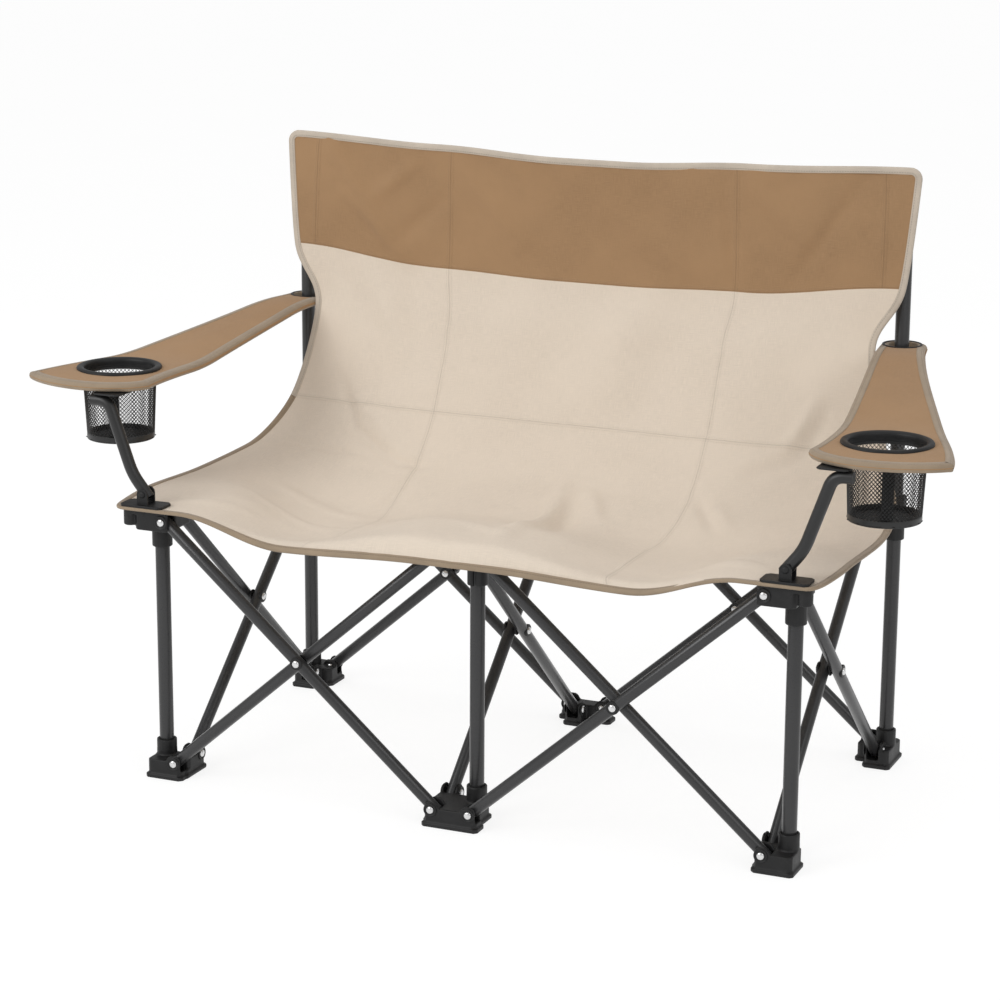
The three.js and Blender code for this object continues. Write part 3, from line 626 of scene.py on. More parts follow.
# Creases as u and row at both ends, width and rise in metres. Those with a negative rise are valleys.
CREASES = (
    (-0.885, 0.98, -0.83, 2.05, 0.020, -0.0045),
    (-0.74, 1.0, -0.66, 2.3, 0.024, 0.0040),
    (-0.60, 1.05, -0.56, 2.4, 0.030, -0.0030),
    (-0.83, 2.75, -0.70, 3.35, 0.009, -0.0045),
    (-0.70, 3.35, -0.50, 3.71, 0.009, -0.0050),
    (-0.50, 3.71, -0.40, 3.77, 0.008, -0.0040),
    (-0.74, 2.95, -0.50, 3.52, 0.016, 0.0040),
    (-0.93, 3.79, -0.60, 3.70, 0.008, -0.0034),
    (-0.41, 3.75, -0.435, 4.9, 0.010, -0.0030),
    (0.045, 3.95, 0.085, 5.2, 0.013, 0.0060),
    (0.075, 4.7, 0.096, 6.4, 0.014, 0.0065),
    (0.10, 6.35, -0.05, 6.0, 0.013, 0.0035),
    (0.13, 4.05, 0.20, 4.65, 0.012, 0.0045),
    (0.10, 4.4, 0.16, 5.6, 0.018, -0.0050),
    (0.464, 3.85, 0.53, 4.4, 0.009, -0.0035),
    (0.50, 3.80, 0.57, 4.35, 0.012, 0.0030),
    (0.80, 2.5, 0.70, 3.02, 0.010, 0.0045),
    (0.84, 2.6, 0.75, 3.1, 0.011, -0.0040),
    (0.76, 3.15, 0.58, 3.45, 0.016, -0.0030),
    (0.18, 1.1, 0.06, 2.7, 0.045, 0.0060),
    (0.33, 1.05, 0.24, 2.7, 0.035, -0.0050),
    (0.62, 1.1, 0.52, 2.6, 0.040, 0.0050),
    (-0.20, 1.1, -0.28, 2.6, 0.045, 0.0040),
    (-0.87, 0.16, -0.66, 0.85, 0.013, 0.0046),
    (-0.84, 0.52, -0.62, 0.92, 0.010, 0.0036),
    (-0.72, 0.55, -0.58, 0.30, 0.012, 0.0040),
    (-0.64, 0.78, -0.49, 0.52, 0.014, -0.0040),
    (-0.42, 0.30, -0.22, 0.72, 0.020, 0.0036),
    (-0.18, 0.22, 0.02, 0.62, 0.024, -0.0034),
    (0.06, 0.45, 0.30, 0.80, 0.020, 0.0034),
    (0.42, 0.36, 0.47, 0.92, 0.010, -0.0030),
    (0.52, 0.28, 0.68, 0.62, 0.016, 0.0040),
    (0.83, 0.25, 0.66, 0.85, 0.013, -0.0040),
    (0.95, 0.18, 0.90, 0.80, 0.012, 0.0034),
    (-0.80, 4.8, -0.45, 5.1, 0.014, 0.0022),
    (-0.75, 5.5, -0.45, 5.7, 0.012, 0.0018),
    (0.86, 6.6, 0.62, 6.1, 0.014, 0.0030),
    (-0.86, 6.6, -0.66, 6.2, 0.014, 0.0026),
)


def seam_u(v):
    """Place of a bucket's seam at a row."""
    for (a, x), (b, y) in zip(SEAM_U, SEAM_U[1:]):
        if v <= b:
            return x + (y - x) * (v - a) / (b - a)
    return SEAM_U[-1][1]


def row_value(column, v):
    """A column of ROWS at a row, with no overshoot in between."""
    index = min(max(int(v), 0), LAST - 1)
    t = v - index
    a, b, c, d = (ROWS[min(max(i, 0), LAST)][column] for i in range(index - 1, index + 3))

    def slope(before, after):
        return 0.0 if before * after <= 0 else 2 * before * after / (before + after)

    leave, arrive = slope(b - a, c - b), slope(c - b, d - c)
    return b + t * leave + t * t * (3 * (c - b) - 2 * leave - arrive) + t**3 * (2 * (b - c) + leave + arrive)


def bucket_share(u, ridge, flat):
    """Share of the way from the hem to the bottom of a bucket."""
    t = abs(u)

    def wave(share):
        return 0.5 - 0.5 * math.cos(math.pi * share)

    if t < 0.5:
        return ridge + (1 - ridge) * wave(max((t - CREST) / (0.5 - CREST), 0.0))
    return 1 - wave(min((t - 0.5) / (0.5 - flat), 1.0))


def sling_base(u, v):
    """A point of the plain cloth, u from -1 to 1 across."""
    share = bucket_share(u, row_value(5, v), row_value(6, v))
    return at(
        u * row_value(0, v),
        row_value(1, v) + share * row_value(3, v),
        row_value(2, v) + share * row_value(4, v),
    )


# Length of the cloth from the top, at each step of each row.
RUN = run_lengths([sling_base(0.5, k / RUN_STEPS) for k in range(LAST * RUN_STEPS + 1)])


def run_at(v):
    """Length of the cloth from the top to a row."""
    k = min(int(v * RUN_STEPS), len(RUN) - 2)
    return RUN[k] + (v * RUN_STEPS - k) * (RUN[k + 1] - RUN[k])


def row_at(run):
    """The row at a length of cloth from the top."""
    k = min(max(bisect(RUN, run) - 1, 0), len(RUN) - 2)
    return (k + (run - RUN[k]) / (RUN[k + 1] - RUN[k])) / RUN_STEPS


def crease_line(u0, v0, u1, v1, width, rise):
    """A crease as a start and a way on the flat cloth."""
    start = Vector((u0 * row_value(0, v0), run_at(v0)))
    return start, Vector((u1 * row_value(0, v1), run_at(v1))) - start, width, rise


CREASE_LINES = [crease_line(*crease) for crease in CREASES]
# Noise on the cloth as rise in metres, waves per metre across, slant, waves per metre down, and seed
RIPPLES = ((0.0022, 5.5, 0.0, 4.0, 1.7), (0.0011, 17.0, 6.0, 11.0, 4.2), (0.0004, 48.0, 0.0, 30.0, 9.1))


def crumple(u, v):
    """How far the cloth stands off its plain surface."""
    x, s = u * row_value(0, v), run_at(v)
    height = sum(
        rise * noise.noise(Vector((x * per_x + s * slant, s * per_s, seed)))
        for rise, per_x, slant, per_s, seed in RIPPLES
    )
    over, reach = 0.25, 3  # a crease fades past its ends and within three widths
    for start, way, width, rise in CREASE_LINES:
        off = Vector((x, s)) - start
        t = off.dot(way) / way.length_squared
        if -over < t < 1 + over:
            far = (off - way * t).length / width
            if far < reach:
                taper = math.cos(math.pi * min(abs(t - 0.5) / (0.5 + over), 1.0) / 2)
                height += rise * taper * math.exp(-far * far)
    calm = (1 - abs(u) ** 8) * min(1.0, 8 * (LAST - v)) * min(1.0, 0.2 + 6 * v)
    return height * calm * cloth().crumple


def sling(u, v):
    """A point of the crumpled cloth, with its normal."""
    step, turn = 0.004, 0.03  # small moves across and down, for the normal
    point = sling_base(u, v)
    east = sling_base(u + step, v) - sling_base(u - step, v)
    down = sling_base(u, min(v + turn, LAST)) - sling_base(u, max(v - turn, 0.0))
    normal = down.cross(east).normalized()
    return point + normal * crumple(u, v), normal


def rounded(u, v):
    """The place of a sheet point once the corners of the sling are cut round."""
    half, run = row_value(0, v), run_at(v)
    side = (1 - abs(u)) * half
    for end, radius in ((run, TOP_ROUND), (RUN[-1] - run, FRONT_ROUND)):
        a, b = radius - side, radius - end
        if a > 0 and b > 0:
            share = max(a, b) / math.hypot(a, b)
            shift = b - b * share
            u = math.copysign(1 - (radius - a * share) / half, u)
            v = row_at(run + shift if radius == TOP_ROUND else run - shift)
    return u, v


def sling_panel(name, first, last, along, *materials):
    """A cut of the sling between two rows. The rows of the band take the second material."""
    low, high, across = run_at(last), run_at(first), 150

    def row(b):
        return min(max(row_at(low + (high - low) * b), first), last)

    tile = {
        "cloth": lambda a, b: ((2 * a - 1) * row_value(0, row(b)), run_at(row(b))),
        "pattern": lambda a, b: ((2 * a - 1) * SEAM_U[0][1] / seam_u(row(b)), row(b)),
    }

    def place(a, b):
        return sling(*rounded(2 * a - 1, row(b)))[0]

    def in_band(a, b):
        return int(row(b) < BAND_ROW)

    made = piece(name, grid(across, along, place, tile, in_band), *materials)
    modify(made, "SOLIDIFY", thickness=cloth().thickness, offset=0.0)
    apply_modifiers(made)
    made.data.set_sharp_from_angle(angle=0.9)
    return made


TAPE_SIDE = [(-0.0016, 0.0019), (0.0, 0.0026), (0.0075, 0.0024), (0.0086, 0.0016)]
TAPE = [(-0.0022, 0.0), *TAPE_SIDE, *[(x, -y) for x, y in reversed(TAPE_SIDE)]]


def hem_frames(corners, count):
    """Frames along the hem of the sling, through places given as (u, row)."""
    stops, narrow, shift = [], 0.97, 0.12  # a place inside the hem is narrower and some way down or up
    for (u0, v0), (u1, v1) in zip(corners, corners[1:]):
        for k in range(count):
            t = k / count
            run = run_at(v0) + (run_at(v1) - run_at(v0)) * t
            stops.append(rounded(u0 + (u1 - u0) * t, min(max(row_at(run), 0.0), LAST)))
    stops.append(rounded(*corners[-1]))
    places = [sling(*stop) for stop in stops]
    frames = []
    for k, (point, normal) in enumerate(places):
        along = places[min(k + 1, len(places) - 1)][0] - places[max(k - 1, 0)][0]
        inward = normal.cross(along).normalized()
        u, v = stops[k]
        inside = sling_base(u * narrow, v + shift if v < 1 else v - shift) - sling_base(u, v)
        frames.append((point, inward if inward.dot(inside) > 0 else -inward, normal))
    return frames


class LOVESEAT_OT_sling(bpy.types.Operator):
    """Sew the sling: back with its band and pockets, seat in two lengths, and the binding tape"""

    bl_idname = "loveseat.sling"
    bl_label = "Sling"

    def execute(self, context):
        end, near = LAST + 1.0, 0.1
        band_edge, band_metres = 0.985, 0.174  # row of the seam at the band's end, and metres per row there
        mid = ("u", SEAM_U[0][1], POST_X, end)
        row_length = (run_at(SEAM_ROW + near) - run_at(SEAM_ROW - near)) / (2 * near)
        waist = ("v", SEAM_ROW, row_length, end)
        canvas = finish_of(woven, "cream_canvas", cloth().canvas, (mid, waist))
        seams = (mid, ("u", POCKET_U, POST_X, BAND_ROW), ("v", band_edge, band_metres, BAND_ROW))
        band = finish_of(woven, "brown_canvas", cloth().band, seams, 0.16)
        back_tape = finish_of(tape, "back_tape", cloth().back_binding)
        seat_tape = finish_of(tape, "seat_tape", cloth().binding)
        panels = (
            ("back", "rear_centre", 0.0, SEAM_ROW, 84, back_tape),
            ("seat_rear", "seat_rear", SEAM_ROW, FOLD_ROW, 40, seat_tape),
            ("seat_front", "seat_front", FOLD_ROW, LAST, 72, seat_tape),
        )
        for name, body, first, last, along, trim in panels:
            made = sling_panel(f"{name}_canvas", first, last, along, canvas, band)
            if name == "seat_rear":
                runs = [hem_frames([(side, first), (side, last)], 60) for _, side in SIDES]
            else:
                cut, hem = (last, first) if name == "back" else (first, last)
                runs = [hem_frames([(-1, cut), (-1, hem), (1, hem), (1, cut)], 150)]
            bm = bmesh.new()
            for frames in runs:
                join_in(bm, sweep(frames, TAPE))
            edge = piece(f"{name}_binding", bm, trim)
            width = 2 * row_value(0, (first + last) / 2)
            run_at(last) - run_at(first)
            for part in (made, edge):
                settle(part, body)
                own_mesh(part)
            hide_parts(f"{name}_panel")
        self.pockets(band)
        return {"FINISHED"}

    def pockets(self, band):
        """Sleeves sewn to the back that slip over the rear posts, and stay with them."""
        outer, thick, steps = POST_R + 0.0028, 0.0011, 24
        low, high = BACK_TOP - 0.062, BACK_TOP - 0.012
        half = (high - low) / 2
        walls = [(-half, 0), (-half, thick), (half, thick), (half, 0)]
        for name, side in SIDES:
            frames = []
            for k in range(steps + 1):
                a = math.pi * (k / steps - 0.5)
                way = Vector((math.sin(a), math.cos(a), 0))
                frames.append((at(side * POST_X, REAR, (low + high) / 2) + way * outer, UP, way))
            made = piece(f"{name}_post_pocket", sweep(frames, walls), band, flat_angle=0.6)
            pattern = made.data.uv_layers.new(name="pattern")
            for loop in pattern.data:
                loop.uv = (0.2, 0.5)  # clear of the seams
            settle(made, body_of(f"rear_{name}_post"))


# Armrests


def bezier(points, t):
    """A point of a Bezier curve."""
    while len(points) > 1:
        points = [a.lerp(b, t) for a, b in zip(points, points[1:])]
    return points[0]


def arm_edges():
    """The four edges of an armrest's plan, each from 0 to 1: front, rear, inner and outer."""
    tip = EYELET[1] + EYELET_EDGE + 0.011
    inside, outside = (EYELET[0] - EYELET_EDGE, EYELET[1]), (EYELET[0] + EYELET_EDGE + 0.004, EYELET[1])
    near, far = (POST_X + 0.012, -0.008), (POST_X + 0.216, -0.015)
    front = (near, (POST_X + 0.040, -0.070), (POST_X + 0.155, -0.072), far)
    rear = (inside, (inside[0], tip), (outside[0], tip), outside)
    inner = [(POST_X + x, y) for x, y in ((0.020, 0.070), (0.016, 0.160), (-0.016, 0.340), (-0.026, 0.430))]
    outer = [(POST_X + x, y) for x, y in ((0.204, 0.060), (0.160, 0.160), (0.100, 0.300), (0.052, 0.410))]
    edges = (front, rear, (near, *inner, inside), (far, *outer, outside))
    return tuple(lambda t, points=[Vector(q) for q in edge]: bezier(points, t) for edge in edges)


def arm_plan(s, t):
    """A place on an armrest's plan, patched between its four edges."""
    front, rear, inner, outer = ARM_EDGES
    corners = (front(0) * (1 - s) + front(1) * s) * (1 - t) + (rear(0) * (1 - s) + rear(1) * s) * t
    return front(s) * (1 - t) + rear(s) * t + inner(t) * (1 - s) + outer(t) * s - corners


ARM_EDGES = arm_edges()
TAPE_W = 0.0125  # width of the tape on an armrest


def arm_outline():
    """Points round an armrest's plan, with a tree to find the nearest one."""
    points = []
    for edge, a, b, count in ((2, 0, 1, 90), (1, 0, 1, 36), (3, 1, 0, 90), (0, 1, 0, 44)):
        points += [ARM_EDGES[edge](a + (b - a) * k / count) for k in range(count)]
    tree = kdtree.KDTree(len(points))
    for k, point in enumerate(points):
        tree.insert(point.to_3d(), k)
    tree.balance()
    return points, tree


ARM_OUTLINE, ARM_TREE = arm_outline()


def from_edge(flat):
    """Distance of a place on the plan from the armrest's edge."""
    nearest = ARM_TREE.find(flat.to_3d())[1]
    here, best = ARM_OUTLINE[nearest], 1.0
    for other in (ARM_OUTLINE[nearest - 1], ARM_OUTLINE[(nearest + 1) % len(ARM_OUTLINE)]):
        way = other - here
        t = min(max((flat - here).dot(way) / way.length_squared, 0.0), 1.0)
        best = min(best, (flat - here - way * t).length)
    return best


def edge_fall(far):
    """Share of the armrest's half thickness that is left near its edge."""
    fall = 0.34
    return 1 - fall * (1 - min(far / TAPE_W, 1.0)) ** 2


def pad_half(side, up):
    """The upper or lower half of an armrest pad, thinner and round at its edges."""
    across, along, crowd_a, crowd_b = 44, 110, 0.095, 0.02  # the grid crowds towards its edges
    crown, crown_reach, wrinkle, wrinkle_reach, tuck = 0.0016, 0.05, 0.0008, 0.02, 0.0006

    def place(a, b):
        s, t = a - crowd_a * math.sin(2 * math.pi * a), b - crowd_b * math.sin(2 * math.pi * b)
        flat = arm_plan(s, t)
        rim = min(a, b, 1 - a, 1 - b) < 1e-6
        far = 0.0 if rim else from_edge(flat)
        lift = math.sqrt(max(0.0, 1 - (1 - min(2 * far / PAD_T, 1)) ** 2)) * edge_fall(far)
        swell = crown * min(far / crown_reach, 1.0) * (1 if up > 0 else 0.3)
        ripple = wrinkle * noise.noise(Vector((flat.x * 30, flat.y * 12, 3.0 * up + side)))
        ripple *= min(far / wrinkle_reach, 1.0)
        z = -PAD_T / 2 + up * (lift * (PAD_T / 2 - tuck) + swell + ripple)
        return on_arm(side, flat.x, flat.y, z)

    def tile(a, b):
        flat = arm_plan(a, b)
        return flat.x, flat.y

    return grid(across, along, place, {"cloth": tile})


def drill(made, bm_tool):
    """Cuts a tool's shape out of a piece."""
    tool = piece("drill", bm_tool)
    modify(made, "BOOLEAN", object=tool, operation="DIFFERENCE", solver="EXACT")
    apply_modifiers(made)
    unmake(tool).free()


class LOVESEAT_OT_armrests(bpy.types.Operator):
    """Upholster the armrests and bind their edges"""

    bl_idname = "loveseat.armrests"
    bl_label = "Armrests"

    def execute(self, context):
        cover = finish_of(woven, "armrest_canvas", cloth().armrest, (), 0.12)
        holes = ((CUP, 0.0573, 64), (EYELET, 0.0293, 48))  # place, radius and segments
        reach = 0.05  # of the drill, up and down
        for name, side in SIDES:
            bm = pad_half(side, 1)
            join_in(bm, pad_half(side, -1))
            bmesh.ops.remove_doubles(bm, verts=bm.verts, dist=1e-5)
            bmesh.ops.recalc_face_normals(bm, faces=bm.faces)
            pad = piece(f"{name}_armrest_cover", bm, cover)
            for place, radius, segments in holes:
                ends = (on_arm(side, *place, z) for z in (-reach, reach))
                drill(pad, rod(*ends, radius, segments=segments))
            pad.data.shade_smooth()
            pad.data.set_sharp_from_angle(angle=0.9)
            edge = self.binding(name, side)
            start, end = (on_arm(side, POST_X, y, 0) for y in (0.135, REAR - 0.03))
            for part in (pad, edge):
                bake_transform(part)
            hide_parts(f"{name}_armrest_pad")
        return {"FINISHED"}

    def binding(self, name, side):
        count, set_in, reach = len(ARM_OUTLINE), 0.0012, 0.0112
        frames = []
        for k in range(count + 1):
            here, before, after = (ARM_OUTLINE[j % count] for j in (k, k - 1, k + 1))
            along = (after - before).normalized()
            inward = Vector((along.y, -along.x))
            point = on_arm(side, *(here + inward * set_in), -PAD_T / 2)
            inner = on_arm(side, *(here + inward * reach), -PAD_T / 2) - point
            frames.append((point, inner.normalized(), UP))
        half, lip = PAD_T / 2, 0.0005
        top = [(x, half * edge_fall(x) + lip) for x in (0.0118, 0.0085, 0.0055, 0.0030, 0.0012)]
        outer = [(TAPE_W, half - 0.0012), *top, (-0.0004, 0.0030), (-0.0008, 0.0)]
        profile = [*outer, *[(x, -z) for x, z in reversed(outer[:-1])]]
        bm = sweep(frames, profile, closed_path=True)
        return piece(f"{name}_armrest_binding", bm, finish_of(tape, "arm_tape", cloth().binding))


# Cup holders
# Profiles of (radius, height) above the armrest

CUP_RIM = (
    (0.0540, -0.0080), (0.0565, -0.0080), (0.0565, 0.0003), (0.0632, 0.0003), (0.0647, 0.0012),
    (0.0647, 0.0024), (0.0636, 0.0042), (0.0612, 0.0052), (0.0580, 0.0052), (0.0555, 0.0044),
    (0.0540, 0.0030), (0.0532, 0.0005), (0.0536, -0.0030), (0.0540, -0.0045),
)
EYELET_RING = (
    (0.0265, -0.0138), (0.0290, -0.0138), (0.0290, 0.0003), (0.0302, 0.0003), (0.0305, 0.0007),
    (0.0300, 0.0012), (0.0284, 0.0015), (0.0270, 0.0011), (0.0265, 0.0003),
)


class LOVESEAT_OT_cup_holders(bpy.types.Operator):
    """Turn the cup rings and eyelets, and weave the wire baskets under them"""

    bl_idname = "loveseat.cup_holders"
    bl_label = "Cup holders"

    def execute(self, context):
        for name, side in SIDES:
            arm = f"{name}_arm"
            cup, eye = (facing(on_arm(side, *spot, 0), UP) for spot in (CUP, EYELET))
            settle(self.ring(f"{name}_cup_rim", CUP_RIM, 72, cup), arm, f"{name}_cup_ring")
            settle(self.basket(name, cup), arm, f"{name}_cup_basket")
            eyelet = self.ring(f"{name}_eyelet_ring", EYELET_RING, 56, eye)
            settle(eyelet, f"{name}_eyelet", f"{name}_armrest_eyelet")
        return {"FINISHED"}

    def ring(self, name, profile, steps, place):
        bm = turned(profile, steps)
        bmesh.ops.transform(bm, matrix=place, verts=bm.verts)
        return piece(name, bm, finish_of(moulding), flat_angle=0.9)

    def basket(self, name, place):
        """A basket of crossed wire, with a hoop at both ends, a foot hoop and a strap."""
        top, low, top_r, low_r = -0.0085, -0.1065, 0.0553, 0.0505
        cells, rows = (round(length / metal().mesh) for length in (2 * math.pi * top_r, top - low))

        def side_wall(a, b):
            r, turn = low_r + (top_r - low_r) * b, 2 * math.pi * a
            return Vector((r * math.cos(turn), r * math.sin(turn), low + (top - low) * b))

        wall = grid(cells, rows, side_wall)
        bmesh.ops.remove_doubles(wall, verts=wall.verts, dist=1e-6)
        floor = bmesh.new()
        bmesh.ops.create_grid(floor, x_segments=17, y_segments=17, size=low_r * 1.02)
        outside = [f for f in floor.faces if f.calc_center_median().length > low_r * 0.985]
        bmesh.ops.delete(floor, geom=outside, context="FACES")
        for net in (wall, floor):
            straight = [e for e in net.edges if not e.is_boundary]
            bmesh.ops.poke(net, faces=net.faces)
            bmesh.ops.dissolve_edges(net, edges=straight, use_verts=False)
        bm = join_in(join_in(bmesh.new(), wall), floor, Matrix.Translation((0, 0, low + 0.001)))
        bmesh.ops.wireframe(bm, faces=bm.faces, thickness=metal().wire, use_replace=True, use_boundary=True)
        thick, swell = 0.0009, 0.0004
        for z, high, r in ((low, 0.009, low_r), (top - 0.004, 0.004, top_r)):
            side = ((r + thick, z), (r + thick + swell, z + high / 2), (r + thick, z + high))
            join_in(bm, turned(((r - thick, z), *side, (r - thick, z + high)), 56))
        inner, outer, above = low_r - 0.005, low_r + 0.0008, low + 0.0012
        join_in(bm, turned(((inner, low), (outer, low - 0.0004), (outer, above), (inner, above)), 56))
        strap_turn, strap_in, eased = 1.9, 0.0024, 0.0005
        half = Vector((0.0016, 0.017, top - low - 0.002)) / 2
        strap = box(-half, half)
        bevel(strap, strap.edges, eased)
        lean = Matrix.Rotation(math.atan2(top_r - low_r, top - low), 4, "Y")
        spot = Matrix.Translation(((top_r + low_r) / 2 - strap_in, 0, (top + low) / 2))
        join_in(bm, strap, Matrix.Rotation(strap_turn, 4, "Z") @ spot @ lean)
        bmesh.ops.transform(bm, matrix=place, verts=bm.verts)
        return piece(f"{name}_wire_basket", bm, finish_of(black_wire), flat_angle=0.8)


# Frame


def scissor_ends():
    """Each scissor tube's pivots: where it leaves its foot and where it meets its head."""
    inset_x, inset_y = 0.030, 0.028  # pivots from the middle and the posts, across and in depth
    ends, outer, span = {}, POST_X - inset_x, (inset_y, REAR - inset_y)
    wide = (("centre", "centre", inset_x, outer), ("corner", "foot", outer, inset_x))

    def cross_depth(pair):
        for way, (foot, head) in (("rear", reversed(span)), ("front", span)):
            tube = f"{pair}_tube_from_{way}"
            x = middle(tube).x
            ends[tube] = (at(x, foot, LOW_Z), at(x, head, HIGH_Z))

    for name, side in SIDES:
        for pair in (f"front_{name}", f"rear_{name}"):
            for way, pin, foot, head in wide:
                y = pivot(f"{pair}_{pin}_pivot").y
                points = Vector((side * foot, y, LOW_Z)), Vector((side * head, y, HIGH_Z))
                ends[f"{pair}_tube_from_{way}"] = points
        cross_depth(f"side_{name}")
    cross_depth("centre")
    return ends


def holder(point):
    """The moulding that holds a pivot."""
    for node in nodes_named(*CAST):
        low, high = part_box(node)
        if all(low[k] - 1e-4 <= point[k] <= high[k] + 1e-4 for k in range(3)):
            return node
    raise RuntimeError(f"no moulding holds the pivot at {point}")


def held_pivots():
    """The pivots in each moulding, each with its axis and the way its tube leaves."""
    found = {}
    for tube, (foot, head) in scissor_ends().items():
        axis = Vector((0, 1, 0)) if tube.startswith(("front", "rear")) else Vector((1, 0, 0))
        along = Vector((head.x - foot.x, head.y - foot.y, 0)).normalized()
        for point, way in ((foot, along), (head, -along)):
            found.setdefault(holder(point), []).append((point, axis, way))
    return found


class LOVESEAT_OT_tubes(bpy.types.Operator):
    """Draw the scissor tubes, posts and arm supports"""

    bl_idname = "loveseat.tubes"
    bl_label = "Tubes"

    def execute(self, context):
        coat = finish_of(powder_coat)
        past, sunk = 0.008, 0.007  # a tube runs past its pivots, and a rear post ends inside its pocket
        for node, (foot, head) in scissor_ends().items():
            way = (head - foot).normalized() * past
            self.fit(node, rod(foot - way, head + way, TUBE_R), coat)
        for node in nodes_named("_post"):
            low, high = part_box(node)
            centre = middle(node)
            top = high.z - (sunk if node.startswith("rear") else 0.0)
            ends = (Vector((centre.x, centre.y, z)) for z in (low.z, top))
            self.fit(node, rod(*ends, POST_R, segments=48), coat)
        for name, side in SIDES:
            self.fit(f"{name}_arm_support", self.support(name, side), finish_of(black_wire))
        return {"FINISHED"}

    def fit(self, node, bm, finish):
        made = piece(node.replace("tube", "bar") + "_round", bm, finish, flat_angle=0.7)
        settle(made, body_of(node), node)

    def support(self, name, side):
        low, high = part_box(f"{name}_arm_support")
        base = Vector((POST_X - 0.0055, 0, low.z + 0.0065))
        bend = Vector((POST_X + 0.022, 0, CORNER_Z + 0.0493))
        knee = Vector((POST_X + 0.060, 0, high.z - TUBE_R))
        tail, turn = Vector((0.028, 0, 0)), 0.016
        points = bent([base, bend, knee, knee + tail], turn)
        path = [at(side * p.x, ARM_Y, p.z) for p in points]
        flat, count, frames = Vector((0, 1, 0)), 32, []
        for k, p in enumerate(path):
            along = path[min(k + 1, len(path) - 1)] - path[max(k - 1, 0)]
            frames.append((p, flat, along.normalized().cross(flat)))
        turns = [2 * math.pi * k / count for k in range(count)]
        return sweep(frames, [(TUBE_R * math.cos(a), TUBE_R * math.sin(a)) for a in turns])


class LOVESEAT_OT_mouldings(bpy.types.Operator):
    """Round the edges of the moulded feet, connectors, plates and brackets"""

    bl_idname = "loveseat.mouldings"
    bl_label = "Mouldings"
    ear_radius, block_top = 0.013, 0.029
    ear_reach = WALL_FACE + 0.0006

    def execute(self, context):
        black = finish_of(moulding)
        pivots = held_pivots()
        for node in nodes_named(*CAST, "_plate", "_bracket"):
            bm = bmesh.new()
            bm.from_mesh(frame["nodes"][node].data)
            bmesh.ops.remove_doubles(bm, verts=bm.verts, dist=2e-6)
            if node.endswith("_foot"):
                blank = piece("blank", bm)
                drill(blank, self.ears(pivots[node]))
                drill(blank, self.top_waste(node, pivots[node]))
                bm = unmake(blank)
            if node.endswith(CAST):
                made = piece(node + "_moulding", bm, black)
                modify(made, "REMESH", mode="VOXEL", voxel_size=0.0014)
                modify(made, "SMOOTH", factor=0.5, iterations=3)
                apply_modifiers(made)
                made.data.shade_smooth()
            else:
                bmesh.ops.dissolve_limit(bm, angle_limit=0.03, verts=bm.verts, edges=bm.edges)
                sharp = 0.7
                made = piece(node + "_moulding", bm, black, flat_angle=sharp)
                modify(made, "BEVEL", width=metal().edge, segments=3, limit_method="ANGLE", angle_limit=sharp)
            settle(made, body_of(node), node)
        return {"FINISHED"}

    def top_waste(self, node, pivots):
        """The top of a foot's block, but for the post's socket and the ears round its pivots."""
        low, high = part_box(node)
        margin = 0.01
        low, high = low - Vector((margin, margin, 0)), high + Vector((margin, margin, margin))
        low.z = self.block_top
        slab = piece("slab", box(low, high))
        kept = [(point, axis * self.ear_reach, self.ear_radius) for point, axis, _ in pivots]
        post = node.replace("_foot", "_post")
        if post in frame["nodes"]:
            kept.append((middle(post), UP, POST_R + 0.0046))
        for point, half, radius in kept:
            drill(slab, rod(point - half, point + half, radius))
        return unmake(slab)

    def ears(self, pivots):
        """The waste to cut off a foot so that its walls end in a round ear at each pivot."""
        bm = bmesh.new()
        radius, ledge, far = self.ear_radius, 0.012 - LOW_Z, 0.030
        arc = [(radius * math.sin(k * math.pi / 16), radius * math.cos(k * math.pi / 16)) for k in range(9)]
        profile = [*arc, (radius, ledge), (far, ledge), (far, far), (0.0, far)]
        for point, axis, way in pivots:
            half = axis * self.ear_reach
            verts = [bm.verts.new(point - half + way * x + UP * z) for x, z in profile]
            made = bmesh.ops.extrude_face_region(bm, geom=[bm.faces.new(verts)])["geom"]
            moved = [v for v in made if isinstance(v, bmesh.types.BMVert)]
            bmesh.ops.translate(bm, vec=half * 2, verts=moved)
        bmesh.ops.recalc_face_normals(bm, faces=bm.faces)
        return bm


# Profiles of (radius, height) round a rivet: washer between tubes, collar under a head, boss on a moulding
WASHER = ((0.0031, -0.0012), (0.0088, -0.0012), (0.0092, 0.0), (0.0088, 0.0012), (0.0031, 0.0012))
COLLAR = ((0.0031, -0.0034), (0.0100, -0.0034), (0.0100, -0.0006), (0.0092, 0.0003), (0.0031, 0.0003))
BOSS = (
    (0.0, 0.0), (0.0105, 0.0), (0.0103, 0.0012), (0.0095, 0.0018), (0.0085, 0.0016),
    (0.0070, 0.0006), (0.0, 0.0006),
)


def dome(height=0.0030, radius=0.0060):
    """A rivet's head."""
    shares = ((0, 0), (1, 0), (0.97, 0.35), (0.8, 0.72), (0.45, 0.94), (0, 1))
    return turned([(radius * x, height * z) for x, z in shares], 24)


